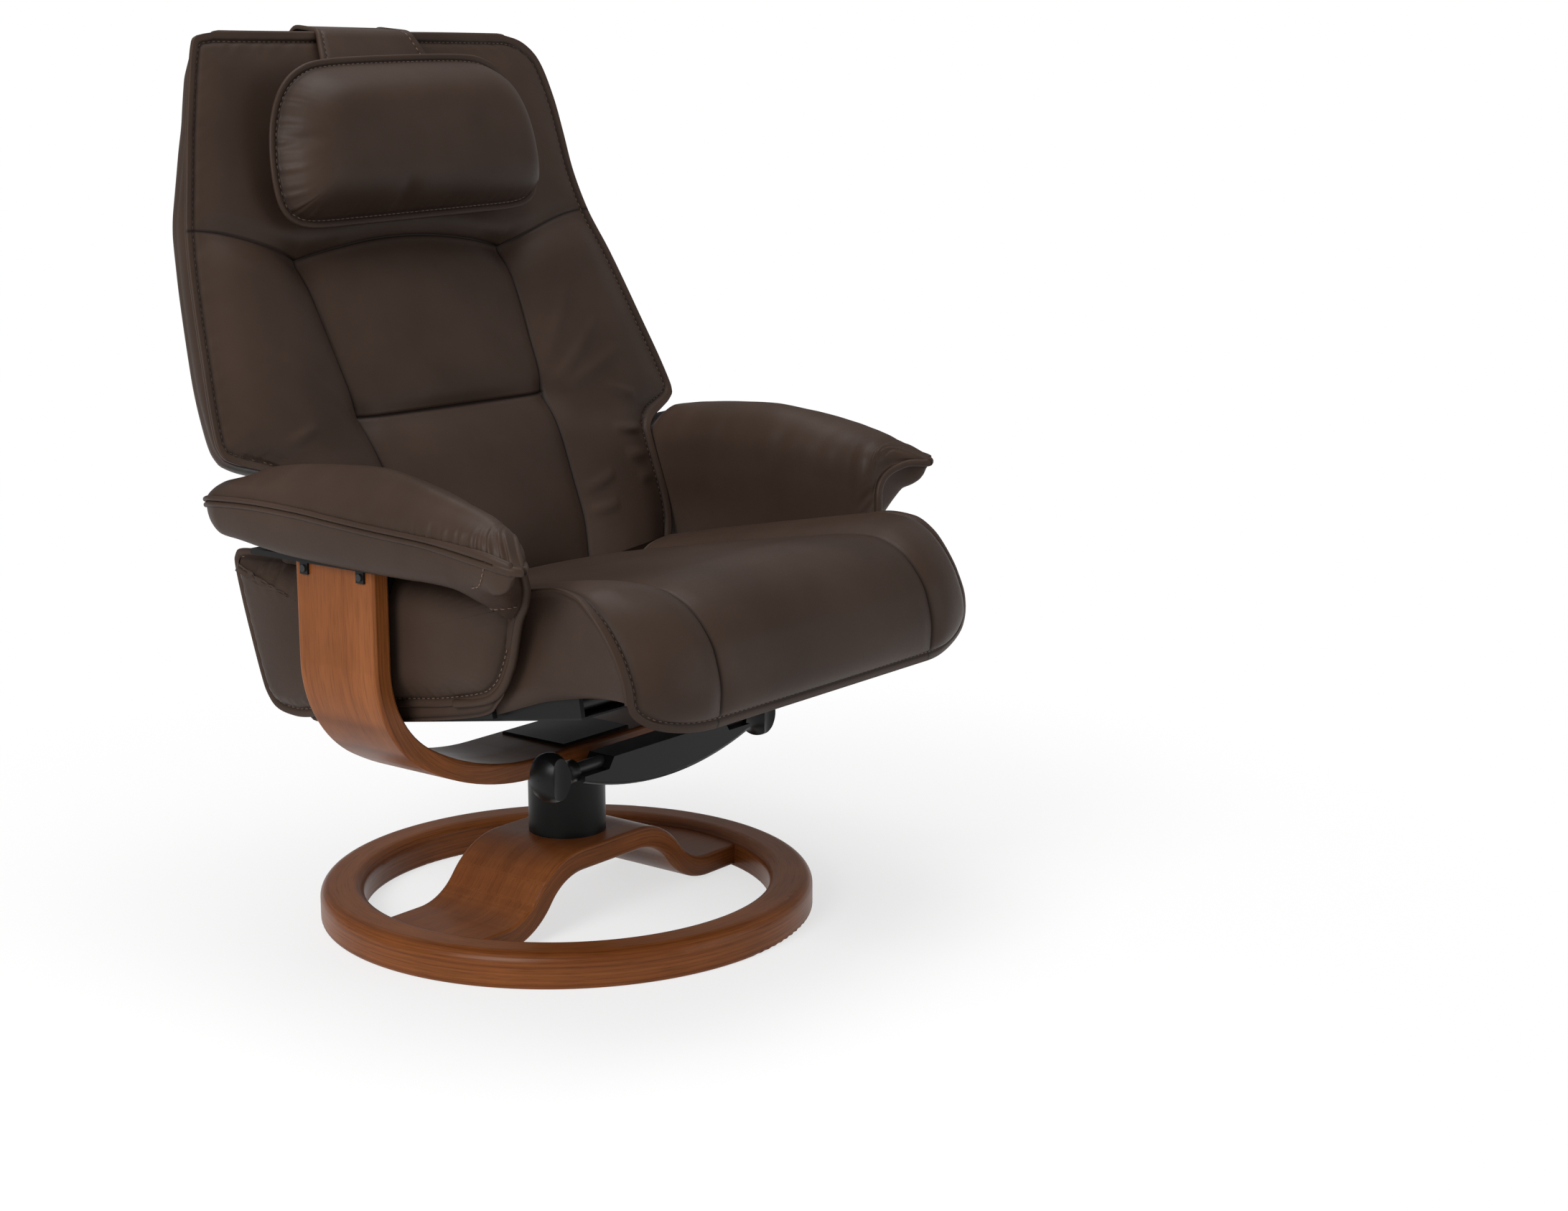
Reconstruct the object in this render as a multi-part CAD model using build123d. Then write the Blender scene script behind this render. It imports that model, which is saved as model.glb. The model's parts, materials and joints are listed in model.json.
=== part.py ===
"""Swivel recliner with a bentwood ring base, a bentwood arm frame and a head pillow.

Millimetres, +Z up. The origin is on the floor at the swivel axis, and the sitter faces -Y.
"""
from build123d import *
import math
import os

# Fits
RUN_FIT = 0.05
SOFT_GAP = 0.4

# Base ring, its felt pads and the bent leg across it
RING_R = 300
RING_W = 53
RING_H = 42
RING_TOP_ROUND = 15
RING_FOOT_ROUND = 4
FELT_R = 12
FELT_T = 3
FELT_COUNT = 6
LEG_W = 145
LEG_T = 27
LEG_TOP_Z = 97
LEG_FLOOR_GAP = 4
LEG_FLAT = 100
LEG_RUN = 134
LEG_EDGE = 4
DOWEL_R = 5
DOWEL_LEN = 40
DOWEL_SPACING = 80

# Column and swivel bearing
COVER_R = 47
COVER_WALL = 4.5
COVER_CLEAR = 1
TUBE_R = 30
TUBE_WALL = 5
TUBE_H = 81
FLANGE_T = 6
FLANGE_GAP = 1
BUSH_LEN = 30
BUSH_LIP = 2
SPINDLE_R = 17
SPINDLE_FOOT_GAP = 8
WASHER_T = 4
HUB_R = 46
HUB_T = 8
BOLT_R = 4
BOLT_HEAD_R = 5.5
BOLT_HEAD_H = 5
COLUMN_BOLT_BITE = 20

# Bent arm frame, its top plate and the tension unit in front of it
FRAME_X = 363
FRAME_W = 122
FRAME_T = 24
FRAME_EDGE = 4
BAR_FLAT = 220
BAR_RISE_TURN = 30
POST_BEND_R = 142
PLATE_LEN = 116
PLATE_W = 100
PLATE_T = 3
FRAME_BOLT_PITCH = 48
TENSION_Y = -148
TENSION_RISE = 32
BRACKET_T = 6
BRACKET_W = 90
BRACKET_REAR = 48
HOUSING_LEN = 300
HOUSING_D = 38
HOUSING_DROP = 36
HOUSING_CROWN = 9
HOUSING_ROUND = 5
SHAFT_R = 8
SHAFT_STUB = 34
KNOB_NECK_R = 13
KNOB_R = 28
KNOB_LEN = 56
KNOB_WAIST_R = 22
KNOB_WAIST_GAP = 15

# Arms: bracket on the post, pad above and upholstered panel inside the post
PAD_RISE = 193
POST_GAP = 21
PANEL_T = 18
PANEL_EDGE = 8
ARM_BRACKET_T = 6
ARM_BRACKET_LEN = 260
ARM_LEG_W = 90
ARM_LEG_T = 5
ARM_LEG_H = 110
TAB_W = 12
TAB_T = 3
TAB_H = 13
TAB_SPACING = 88
TAB_SCREW_R = 2.5
TAB_SCREW_LEN = 18
TAB_HEAD_R = 4
TAB_HEAD_H = 2
PAD_OUT = 27
PAD_FRONT = 306
PAD_REAR = 192
PAD_CROWN = 105
PAD_WELT = 47
PANEL_FRONT = 256
PANEL_REAR = 212
PANEL_DROP = 196

# Seat, modelled in its own tilted frame: local y runs rearward, local z is square to the seat
SEAT_GAP = 71
SEAT_PITCH = 9.37
SEAT_TRAVEL = 45
SEAT_SIDE_GAP = 3
SEAT_THICK = 126
SEAT_NOSE = 406
SEAT_NOSE_R = 92
SEAT_NOSE_SIDE = 20
SEAT_CUSHION_REAR = 28
SEAT_SEAM_X = 195
SEAT_CROWN = 7
SEAT_BOLSTER = 15
SEAT_LIP = 9
SEAT_SKIRT_REAR = 186
FRAME_FRONT = 290
FRAME_REAR = 112
RAIL_H = 34
RAIL_T = 6
RAIL_INSET = 15
CROSS_R = 12
CROSS_WALL = 2
PIN_R = 5
PIN_FRONT = -150
PIN_REAR = 20
PIN_OVERRUN = 2
ROLLER_R = 8
ROLLER_FLANGE_R = 13
GLIDE_T = 7
GLIDE_H = 28
GLIDE_MARGIN = 25
SLOT_END = 0.4
WEB_W = 46
WEB_T = 3
WEB_COUNT = 5
DUST_T = 2

# Back, hinged to the seat rails: the edge line leans back, more upright above the shoulder
SHOULDER_Y = 253
SHOULDER_RISE = 535
BACK_LEAN = 23.06
HEAD_LEAN = 13.47
HINGE_RISE = 47
BACK_FOOT_RISE = 107
WING_RISE = 289
BACK_RISE = 754
HEAD_CAP = 32
FOOT_HALF_W = 276
WING_HALF_W = 385
WING_MID_W = 366
SHOULDER_HALF_W = 328
TOP_HALF_W = 255
SEAM_FOOT_X = 130
SEAM_MID_X = 147
SEAM_TOP_X = 165
BACK_DISH = 14
BACK_CROWN = 16
BACK_BOLSTER = 18
HEAD_CROWN = 8
BACK_EDGE = 38
COVER_D = 47
HEAD_COVER_D = 30
SHELL_T = 9
EAR_R = 16
EAR_INSET = 53
HINGE_PIN_R = 6
HINGE_BOSS_R = 14
HINGE_BOSS_W = 24
BACK_TUBE_R = 10
BACK_TUBE_TOP_X = 190
BACK_TUBE_BEND = 45
BACK_WEB_W = 40
BACK_WEB_T = 3
BACK_WEB_COUNT = 5

# Head pillow on a strap over the top of the back, with a counterweight behind
PILLOW_RISE = 632
PILLOW_LEAN = 8
PILLOW_HALF_W = 224
PILLOW_HALF_H = 99
PILLOW_FRONT = 52
PILLOW_REAR = 20
PILLOW_RIM = 8
STRAP_W = 150
STRAP_T = 4
STRAP_BEND = 10
STRAP_FRONT_RUN = 140
STRAP_REAR_RUN = 90
WEIGHT_W = 130
WEIGHT_H = 120
WEIGHT_T = 20
WEIGHT_ROUND = 8
WEIGHT_LAP = 40

# Heights and half-widths that follow from the sizes above
ring_in_r = RING_R - RING_W
tube_top = LEG_TOP_Z + TUBE_H
hub_z = tube_top + WASHER_T
bracket_z = hub_z + HUB_T
bar_z = bracket_z + BRACKET_T
bar_top = bar_z + FRAME_T
seat_z = bar_top + SEAT_GAP
pad_z = seat_z + PAD_RISE
post_top = pad_z - ARM_BRACKET_T
arm_in_x = FRAME_X - FRAME_T - POST_GAP - PANEL_T
panel_out_x = arm_in_x + PANEL_T
seat_half_w = arm_in_x - SEAT_SIDE_GAP
rail_x = arm_in_x - RAIL_INSET
ear_x = rail_x - EAR_INSET
tension_z = bracket_z + TENSION_RISE + BRACKET_T
knob_x = HOUSING_LEN / 2 + RUN_FIT
shoulder_z = seat_z + SHOULDER_RISE
hinge_z = seat_z + HINGE_RISE
foot_z = seat_z + BACK_FOOT_RISE
wing_z = seat_z + WING_RISE
back_top = seat_z + BACK_RISE
cap_z = back_top - HEAD_CAP

pitch = math.radians(SEAT_PITCH)
seat_rearward = Vector(0, math.cos(pitch), -math.sin(pitch))
seat_normal = Vector(0, math.sin(pitch), math.cos(pitch))
seat_frame_plane = Plane(origin=(0, 0, seat_z), x_dir=(1, 0, 0), z_dir=seat_normal)


def seat_side_plane(x):
    """Plane across the seat at x, with local x rearward along the seat and local y square to it."""
    return Plane(origin=(x, 0, seat_z), x_dir=seat_rearward, z_dir=(1, 0, 0))


def edge_y(z):
    """Depth of the back's edge line at height z."""
    lean = BACK_LEAN if z < shoulder_z else HEAD_LEAN
    return SHOULDER_Y + (z - shoulder_z) * math.tan(math.radians(lean))


def bulged(p, q, rise):
    """Arc from p to q whose middle stands out by rise, to the left on the way from p to q."""
    start, end = Vector(*p), Vector(*q)
    along = (end - start).normalized()
    middle = (start + end) * 0.5 + Vector(-along.Y, along.X) * rise
    return ThreePointArc(start, middle, end)


def closed_face(*edges):
    return Face(Wire(list(edges)))


def box_between(low, high):
    size = [b - a for a, b in zip(low, high)]
    middle = [(a + b) / 2 for a, b in zip(low, high)]
    return Pos(*middle) * Box(*size)


def rod_x(radius, x0, x1, y, z):
    """Round bar along X from x0 to x1."""
    return Pos((x0 + x1) / 2, y, z) * Rot(0, 90, 0) * Cylinder(radius, abs(x1 - x0))


def rod_z(radius, z0, z1, x=0, y=0):
    """Round bar along Z from z0 to z1."""
    return Pos(x, y, (z0 + z1) / 2) * Cylinder(radius, z1 - z0)


def mirrored(shape):
    return mirror(shape, about=Plane.YZ)


def bent_strip(start, heading, runs, thickness):
    """Face of a strip of even thickness along straight runs and bends of its middle line.

    A run is (0, length) for a straight or (radius, turn in degrees) for a bend, left turns positive.
    """
    point, angle = Vector(*start), heading
    left, right = [], []
    half = thickness / 2
    first = None
    for radius, amount in runs:
        along = Vector(1, 0).rotate(Axis.Z, angle)
        across = Vector(0, 1).rotate(Axis.Z, angle)
        first = first or (point + across * half, point - across * half)
        if radius == 0:
            left.append(Line(point + across * half, point + across * half + along * amount))
            right.append(Line(point - across * half, point - across * half + along * amount))
            point = point + along * amount
            continue
        side = math.copysign(1, amount)
        centre = point + across * (side * radius)
        for edges, offset in ((left, half), (right, -half)):
            begin = point + across * offset
            edges.append(JernArc(begin, along, radius - side * offset, amount))
        point = centre + (point - centre).rotate(Axis.Z, amount)
        angle += amount
    across = Vector(0, 1).rotate(Axis.Z, angle)
    ends = [Line(*first), Line(point + across * half, point - across * half)]
    return closed_face(*left, *right, *ends)


# Base
def make_base_ring():
    profile = Pos(RING_R - RING_W / 2, RING_H / 2) * Rectangle(RING_W, RING_H)
    top = profile.vertices().group_by(Axis.Y)[-1]
    profile = fillet(top, RING_TOP_ROUND)
    foot = profile.vertices().group_by(Axis.Y)[0]
    profile = fillet(foot, RING_FOOT_ROUND)
    ring = revolve(Plane.XZ * profile, Axis.Z)
    return ring - make_felt_pads() - make_leg_dowels(RUN_FIT)


def make_felt_pads():
    pads = PolarLocations(RING_R - RING_W / 2, FELT_COUNT, 360 / FELT_COUNT / 2)
    return Compound([place * Pos(0, 0, FELT_T / 2) * Cylinder(FELT_R, FELT_T) for place in pads])


def make_leg_dowels(clearance=0.0):
    z = LEG_FLOOR_GAP + LEG_T / 2
    places = [(side, y) for side in (-1, 1) for y in (-DOWEL_SPACING / 2, DOWEL_SPACING / 2)]
    half = DOWEL_LEN / 2 + clearance
    dowels = []
    for side, y in places:
        wall = side * math.sqrt(ring_in_r ** 2 - y ** 2)
        dowels.append(rod_x(DOWEL_R + clearance, wall - half, wall + half, y, z))
    return Compound(dowels)


def make_base_leg():
    rise = LEG_TOP_Z - LEG_T - LEG_FLOOR_GAP
    half_turn = math.atan2(rise, LEG_RUN)
    turn = math.degrees(2 * half_turn)
    radius = LEG_RUN / (2 * math.sin(2 * half_turn))
    tail = RING_R - LEG_FLAT / 2 - LEG_RUN
    climb = [(radius, turn), (radius, -turn)]
    fall = [(radius, -turn), (radius, turn)]
    runs = [(0, tail), *climb, (0, LEG_FLAT), *fall, (0, tail)]
    face = bent_strip((-RING_R, LEG_FLOOR_GAP + LEG_T / 2), 0, runs, LEG_T)
    board = extrude(Plane.XZ * face, LEG_W / 2, both=True)
    long_edges = board.edges().filter_by(lambda edge: abs(abs(edge.center().Y) - LEG_W / 2) < 0.01)
    ends = long_edges.filter_by(lambda edge: abs(edge.center().X) > RING_R - 1)
    board = fillet([edge for edge in long_edges if edge not in ends], LEG_EDGE)
    board = board & rod_z(ring_in_r, 0, 2 * LEG_TOP_Z)
    return board - make_leg_dowels(RUN_FIT) - make_column_bolts(RUN_FIT)


def column_bolt_places():
    inner_cover = COVER_R - COVER_WALL
    return PolarLocations((TUBE_R + inner_cover) / 2, 4, 45)


def make_column_bolts(clearance=0.0):
    seat = LEG_TOP_Z + FLANGE_T
    shank = rod_z(BOLT_R + clearance, LEG_TOP_Z - COLUMN_BOLT_BITE, seat)
    head = rod_z(BOLT_HEAD_R, seat, seat + BOLT_HEAD_H)
    bolt = shank if clearance else shank + head
    return Compound([place * bolt for place in column_bolt_places()])


def make_column_tube():
    flange = rod_z(COVER_R - COVER_WALL - FLANGE_GAP, LEG_TOP_Z, LEG_TOP_Z + FLANGE_T)
    tube = rod_z(TUBE_R, LEG_TOP_Z, tube_top)
    bore = rod_z(TUBE_R - TUBE_WALL, LEG_TOP_Z + FLANGE_T, tube_top)
    return flange + tube - bore - make_column_bolts(RUN_FIT)


def make_column_cover():
    top = hub_z - COVER_CLEAR
    sleeve = rod_z(COVER_R, LEG_TOP_Z, top) - rod_z(COVER_R - COVER_WALL, LEG_TOP_Z, top)
    rim = sleeve.edges().filter_by(GeomType.CIRCLE).sort_by(Axis.Z)[-2:].sort_by(SortBy.RADIUS)[-1]
    return chamfer(rim, COVER_WALL / 3)


def make_bush(z0, z1, waist_r):
    """Plain bush that bears on the tube's bore at its two ends and is relieved between them."""
    outer = rod_z(TUBE_R - TUBE_WALL, z0, z1)
    waist = rod_z(TUBE_R, z0 + BUSH_LIP, z1 - BUSH_LIP) - rod_z(waist_r, z0, z1)
    return outer - waist - rod_z(SPINDLE_R + RUN_FIT, z0, z1)


def make_spindle():
    foot = LEG_TOP_Z + FLANGE_T + SPINDLE_FOOT_GAP
    shaft = rod_z(SPINDLE_R, foot, hub_z)
    hub = rod_z(HUB_R, hub_z, hub_z + HUB_T)
    return shaft + hub - make_frame_bolts(RUN_FIT)


def make_thrust_washer():
    return rod_z(TUBE_R, tube_top, hub_z) - rod_z(SPINDLE_R + RUN_FIT, tube_top, hub_z)


# Arm frame and tension unit
def make_arm_frame():
    outer = POST_BEND_R
    mid_x = FRAME_X - FRAME_T / 2
    first_turn = 90 - BAR_RISE_TURN
    sine = math.sin(math.radians(BAR_RISE_TURN))
    bar_r = (FRAME_X - BAR_FLAT / 2 - outer * (1 - sine)) / sine
    bend_top = bar_z + bar_r - (bar_r - outer) * math.cos(math.radians(BAR_RISE_TURN))
    post = post_top - bend_top
    down = [(outer - FRAME_T / 2, first_turn), (bar_r - FRAME_T / 2, BAR_RISE_TURN)]
    runs = [(0, post), *down, (0, BAR_FLAT), *reversed(down), (0, post)]
    face = bent_strip((-mid_x, post_top), -90, runs, FRAME_T)
    board = extrude(Plane.XZ * face, FRAME_W / 2, both=True)
    side_edges = board.edges().filter_by(lambda edge: abs(abs(edge.center().Y) - FRAME_W / 2) < 0.01)
    board = fillet(side_edges.filter_by(lambda edge: edge.center().Z < post_top - 0.1), FRAME_EDGE)
    return board - make_frame_bolts(RUN_FIT) - make_bracket_screws(RUN_FIT)


def make_frame_bolts(clearance=0.0):
    places = GridLocations(FRAME_BOLT_PITCH, FRAME_BOLT_PITCH, 2, 2)
    shank = rod_z(BOLT_R + clearance, hub_z, bar_top)
    head = rod_z(BOLT_HEAD_R + clearance, bar_top - BOLT_HEAD_H, bar_top)
    return Compound([place * (shank + head) for place in places])


def make_frame_plate():
    plate = Pos(0, 0, bar_top + PLATE_T / 2) * Box(PLATE_LEN, PLATE_W, PLATE_T)
    return chamfer(plate.faces().sort_by(Axis.Z)[-1].edges(), PLATE_T / 3)


def make_tension_bracket():
    upright_y = TENSION_Y + HOUSING_D / 2
    flat = box_between((-BRACKET_W / 2, upright_y, bracket_z), (BRACKET_W / 2, BRACKET_REAR, bar_z))
    upright = box_between(
        (-BRACKET_W / 2, upright_y, bracket_z), (BRACKET_W / 2, upright_y + BRACKET_T, tension_z))
    return flat + upright - make_frame_bolts(RUN_FIT)


def make_tension_housing():
    half = HOUSING_LEN / 2
    top = tension_z + HOUSING_CROWN
    step_x = half * 2 / 3
    shoulder = tension_z - SHAFT_R / 2
    bottom = tension_z - HOUSING_DROP
    face = closed_face(
        Line((-step_x, top), (step_x, top)),
        Line((step_x, top), (step_x + HOUSING_CROWN, shoulder)),
        Line((step_x + HOUSING_CROWN, shoulder), (half, shoulder)),
        Line((half, shoulder), (half, shoulder - SHAFT_R)),
        ThreePointArc((half, shoulder - SHAFT_R), (0, bottom), (-half, shoulder - SHAFT_R)),
        Line((-half, shoulder - SHAFT_R), (-half, shoulder)),
        Line((-half, shoulder), (-step_x - HOUSING_CROWN, shoulder)),
        Line((-step_x - HOUSING_CROWN, shoulder), (-step_x, top)),
    )
    housing = Pos(0, TENSION_Y, 0) * extrude(Plane.XZ * face, HOUSING_D / 2, both=True)
    belly = housing.edges().filter_by(GeomType.CIRCLE)
    housing = fillet(belly, HOUSING_ROUND)
    return housing - rod_x(SHAFT_R + RUN_FIT, -half, half, TENSION_Y, tension_z)


def make_tension_shaft():
    reach = HOUSING_LEN / 2 + SHAFT_STUB
    return rod_x(SHAFT_R, -reach, reach, TENSION_Y, tension_z)


def make_tension_knob():
    """Wing knob on the sitter's left end of the shaft: conical neck, then two lobes across a waist."""
    end = KNOB_LEN
    lip = (end * 0.85, KNOB_R * 0.85)
    dome = end - lip[0]
    dome_r = (lip[1] ** 2 + dome ** 2) / (2 * dome)
    half_angle = math.asin(lip[1] / dome_r) / 2
    crest = (end - dome_r * (1 - math.cos(half_angle)), dome_r * math.sin(half_angle))
    profile = closed_face(
        Line((0, 0), (0, KNOB_NECK_R)),
        bulged((0, KNOB_NECK_R), (end * 0.55, KNOB_R), -KNOB_NECK_R * 0.35),
        bulged((end * 0.55, KNOB_R), lip, KNOB_R * 0.08),
        ThreePointArc(lip, crest, (end, 0)),
        Line((end, 0), (0, 0)),
    )
    knob = revolve(profile, Axis.X)
    waist_x = end * 0.72
    for side in (-1, 1):
        waist = Pos(waist_x, side * (KNOB_WAIST_R + KNOB_WAIST_GAP), 0) * Cylinder(KNOB_WAIST_R, 4 * KNOB_R)
        knob -= waist
    knob -= rod_x(SHAFT_R + RUN_FIT, 0, SHAFT_STUB + RUN_FIT, 0, 0)
    return Pos(knob_x, TENSION_Y, tension_z) * knob


# Arms, made on the sitter's left
def tab_places():
    return [-TAB_SPACING / 2, TAB_SPACING / 2]


def make_arm_bracket():
    plate = box_between(
        (panel_out_x, -ARM_BRACKET_LEN / 2, post_top), (FRAME_X + TAB_T, ARM_BRACKET_LEN / 2, pad_z))
    leg = box_between(
        (panel_out_x, -ARM_LEG_W / 2, pad_z - ARM_LEG_H), (panel_out_x + ARM_LEG_T, ARM_LEG_W / 2, pad_z))
    bracket = plate + leg
    for y in tab_places():
        bracket += box_between(
            (FRAME_X, y - TAB_W / 2, post_top - TAB_H), (FRAME_X + TAB_T, y + TAB_W / 2, pad_z))
    return bracket - make_bracket_screws(RUN_FIT)


def make_bracket_screws(clearance=0.0):
    z = post_top - TAB_H / 2
    face_x = FRAME_X + TAB_T
    screws = []
    for y in tab_places():
        shank = rod_x(TAB_SCREW_R + clearance, face_x - TAB_SCREW_LEN, face_x, y, z)
        head = rod_x(TAB_HEAD_R, face_x, face_x + TAB_HEAD_H, y, z)
        screw = shank if clearance else shank + head
        screws += [screw, mirrored(screw)]
    return Compound(screws)


def pad_section(y, crown, welt, floor, inset):
    """Pad cross-section at y: crown, welt and floor are heights above the pad's underside plane."""
    inner = arm_in_x + inset
    outer = FRAME_X + PAD_OUT - inset
    ridge = (inner + outer) / 2
    low_outer = FRAME_X + TAB_T + (outer - FRAME_X - TAB_T) / 3
    inner_top = floor + (crown - floor) * 0.62
    face = closed_face(
        Line((inner, floor), (low_outer, floor)),
        bulged((low_outer, floor), (outer, welt), -(welt - floor) * 0.16),
        bulged((outer, welt), (ridge, crown), -(crown - floor) * 0.12),
        bulged((ridge, crown), (inner, inner_top), -(crown - floor) * 0.08),
        Line((inner, inner_top), (inner, floor)),
    )
    return Plane.XZ.offset(-y) * Pos(0, pad_z) * face


def make_arm_pad():
    span = PAD_FRONT + PAD_REAR
    stations = (
        (-PAD_FRONT, 0.37, 0.66, 0.22, 13),
        (-PAD_FRONT + span * 0.04, 0.56, 0.74, 0.08, 5),
        (-PAD_FRONT + span * 0.13, 0.75, 0.78, 0, 0),
        (-PAD_FRONT + span * 0.28, 0.91, 0.80, 0, 0),
        (-PAD_FRONT + span * 0.49, 1.00, 1.00, 0, 0),
        (-PAD_FRONT + span * 0.72, 0.93, 1.05, 0, 0),
        (-PAD_FRONT + span * 0.88, 0.76, 1.05, 0, 0),
        (-PAD_FRONT + span * 0.96, 0.60, 1.00, 0.04, 4),
        (PAD_REAR, 0.42, 0.70, 0.16, 12),
    )
    sections = [
        pad_section(y, PAD_CROWN * crown, PAD_WELT * welt, PAD_CROWN * floor, inset)
        for y, crown, welt, floor, inset in stations
    ]
    below = box_between(
        (arm_in_x - PAD_OUT, -2 * PAD_FRONT, post_top), (FRAME_X + 2 * PAD_OUT, 2 * PAD_REAR, pad_z))
    return loft(sections) - below


def make_side_panel():
    drop = PANEL_DROP
    front, rear = -PANEL_FRONT, PANEL_REAR
    low_front, low_rear = front + drop * 0.75, rear - drop * 0.48
    outline = closed_face(
        Line((front, 0), (rear, 0)),
        bulged((rear, 0), (rear - drop * 0.27, -drop * 0.90), -drop * 0.02),
        bulged((rear - drop * 0.27, -drop * 0.90), (low_rear, -drop), -drop * 0.05),
        Line((low_rear, -drop), (low_front, -drop * 0.80)),
        bulged((low_front, -drop * 0.80), (front + drop * 0.35, -drop * 0.69), -drop * 0.05),
        bulged((front + drop * 0.35, -drop * 0.69), (front, 0), -drop * 0.04),
    )
    panel = extrude(Plane.YZ.offset(arm_in_x) * Pos(0, pad_z) * outline, PANEL_T, dir=(1, 0, 0))
    outer_rim = panel.faces().sort_by(Axis.X)[-1].edges()
    panel = fillet(outer_rim.filter_by(lambda edge: edge.center().Z < pad_z - 1), PANEL_EDGE)
    return panel


# Seat glide: a plate on each panel carries two pins whose rollers run in the seat rails' slots
def make_glide_plate():
    low = (RAIL_H - GLIDE_H) / 2
    plate = box_between(
        (arm_in_x - GLIDE_T, PIN_FRONT - GLIDE_MARGIN, low),
        (arm_in_x, PIN_REAR + GLIDE_MARGIN, low + GLIDE_H))
    return seat_frame_plane * (plate - pin_pair(RUN_FIT))


def pin_pair(clearance=0.0):
    inner = rail_x - RAIL_T - PIN_OVERRUN
    return Compound([
        rod_x(PIN_R + clearance, inner, arm_in_x, y, RAIL_H / 2) for y in (PIN_FRONT, PIN_REAR)])


def make_glide_pins():
    pins = seat_frame_plane * pin_pair()
    return Compound(list(pins.solids()) + list(mirrored(pins).solids()))


def make_glide_rollers():
    rollers = []
    inner = rail_x - RAIL_T
    flange_out = arm_in_x - GLIDE_T - RUN_FIT
    for y in (PIN_FRONT, PIN_REAR):
        sleeve = rod_x(ROLLER_R, inner, flange_out, y, RAIL_H / 2)
        flange = rod_x(ROLLER_FLANGE_R, rail_x + RUN_FIT, flange_out, y, RAIL_H / 2)
        bore = rod_x(PIN_R + RUN_FIT, inner, flange_out, y, RAIL_H / 2)
        roller = seat_frame_plane * (sleeve + flange - bore)
        rollers += [roller, mirrored(roller)]
    return Compound(rollers)


def hinge_point():
    """Hinge axis on the line of the back's tube, at the hinge height."""
    return Vector(0, tube_y(hinge_z), hinge_z)


def make_seat_frame():
    rail = box_between((rail_x - RAIL_T, -FRAME_FRONT, 0), (rail_x, FRAME_REAR, RAIL_H))
    for y in (PIN_FRONT, PIN_REAR):
        width = 2 * (ROLLER_R + RUN_FIT)
        length = SEAT_TRAVEL + 2 * (ROLLER_R + SLOT_END)
        slot = Plane.YZ.offset(rail_x - 2 * RAIL_T) * Pos(y + SEAT_TRAVEL / 2, RAIL_H / 2)
        rail -= extrude(slot * SlotOverall(length, width), 3 * RAIL_T)
    ear = make_hinge_ear()
    frame = rail + mirrored(rail) + ear + mirrored(ear)
    half = rail_x - RAIL_T
    for y in (-FRAME_FRONT + CROSS_R, cross_y()):
        frame += rod_x(CROSS_R, -half, half, y, RAIL_H / 2)
        frame -= rod_x(CROSS_R - CROSS_WALL, -half, half, y, RAIL_H / 2)
    return seat_frame_plane * frame


def cross_y():
    """Local depth of the rear cross tube, which carries the hinge ears."""
    return FRAME_REAR - CROSS_R


def make_hinge_ear():
    """Ear on the rear cross tube, up to the hinge axis, in the seat's own frame."""
    hinge = seat_frame_plane.to_local_coords(hinge_point())
    rise = Vector(hinge.Y - cross_y(), hinge.Z - RAIL_H / 2)
    middle = Pos((hinge.Y + cross_y()) / 2, (hinge.Z + RAIL_H / 2) / 2)
    link = SlotCenterToCenter(rise.length, 2 * EAR_R)
    turn = math.degrees(math.atan2(rise.Y, rise.X))
    outline = Plane.YZ.offset(ear_x - RAIL_T) * middle * Rot(0, 0, turn) * link
    ear = extrude(outline, RAIL_T)
    return ear - rod_x(HINGE_PIN_R + RUN_FIT, ear_x - 2 * RAIL_T, ear_x + RAIL_T, hinge.Y, hinge.Z)


def make_seat_webbing():
    span = cross_y() - CROSS_R - EAR_R + FRAME_FRONT
    pitch_y = span / WEB_COUNT
    straps = []
    for index in range(WEB_COUNT):
        y = -FRAME_FRONT + pitch_y * (index + 0.5)
        straps.append(seat_frame_plane * box_between(
            (-rail_x, y - WEB_W / 2, RAIL_H), (rail_x, y + WEB_W / 2, RAIL_H + WEB_T)))
    return Compound(straps)


def make_dust_cover():
    return seat_frame_plane * box_between((-rail_x, -FRAME_FRONT, -DUST_T), (rail_x, FRAME_REAR, 0))


def seat_section(x, lift, setback):
    """Seat cushion profile across x: lift raises the top, setback draws the nose in."""
    nose = -SEAT_NOSE + setback
    top = SEAT_THICK + lift
    shoulder = (nose + SEAT_NOSE_R * 0.9, top)
    cheek = (nose, SEAT_THICK * 0.2)
    blend = (nose + SEAT_NOSE_R * 0.2, SEAT_THICK * 0.2 + (top - SEAT_THICK * 0.2) * 0.63)
    chin = (nose + SEAT_LIP, -SEAT_LIP)
    face = closed_face(
        Line((SEAT_CUSHION_REAR, 0), (nose + SEAT_NOSE_R, 0)),
        bulged((nose + SEAT_NOSE_R, 0), chin, SEAT_LIP * 0.4),
        bulged(chin, cheek, -SEAT_LIP * 0.4),
        ThreePointArc(cheek, blend, shoulder),
        bulged(shoulder, (SEAT_CUSHION_REAR, SEAT_THICK), -SEAT_LIP * 0.3),
        bulged((SEAT_CUSHION_REAR, SEAT_THICK), (SEAT_CUSHION_REAR, 0), SEAT_LIP * 0.2),
    )
    return seat_side_plane(x) * face


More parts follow.
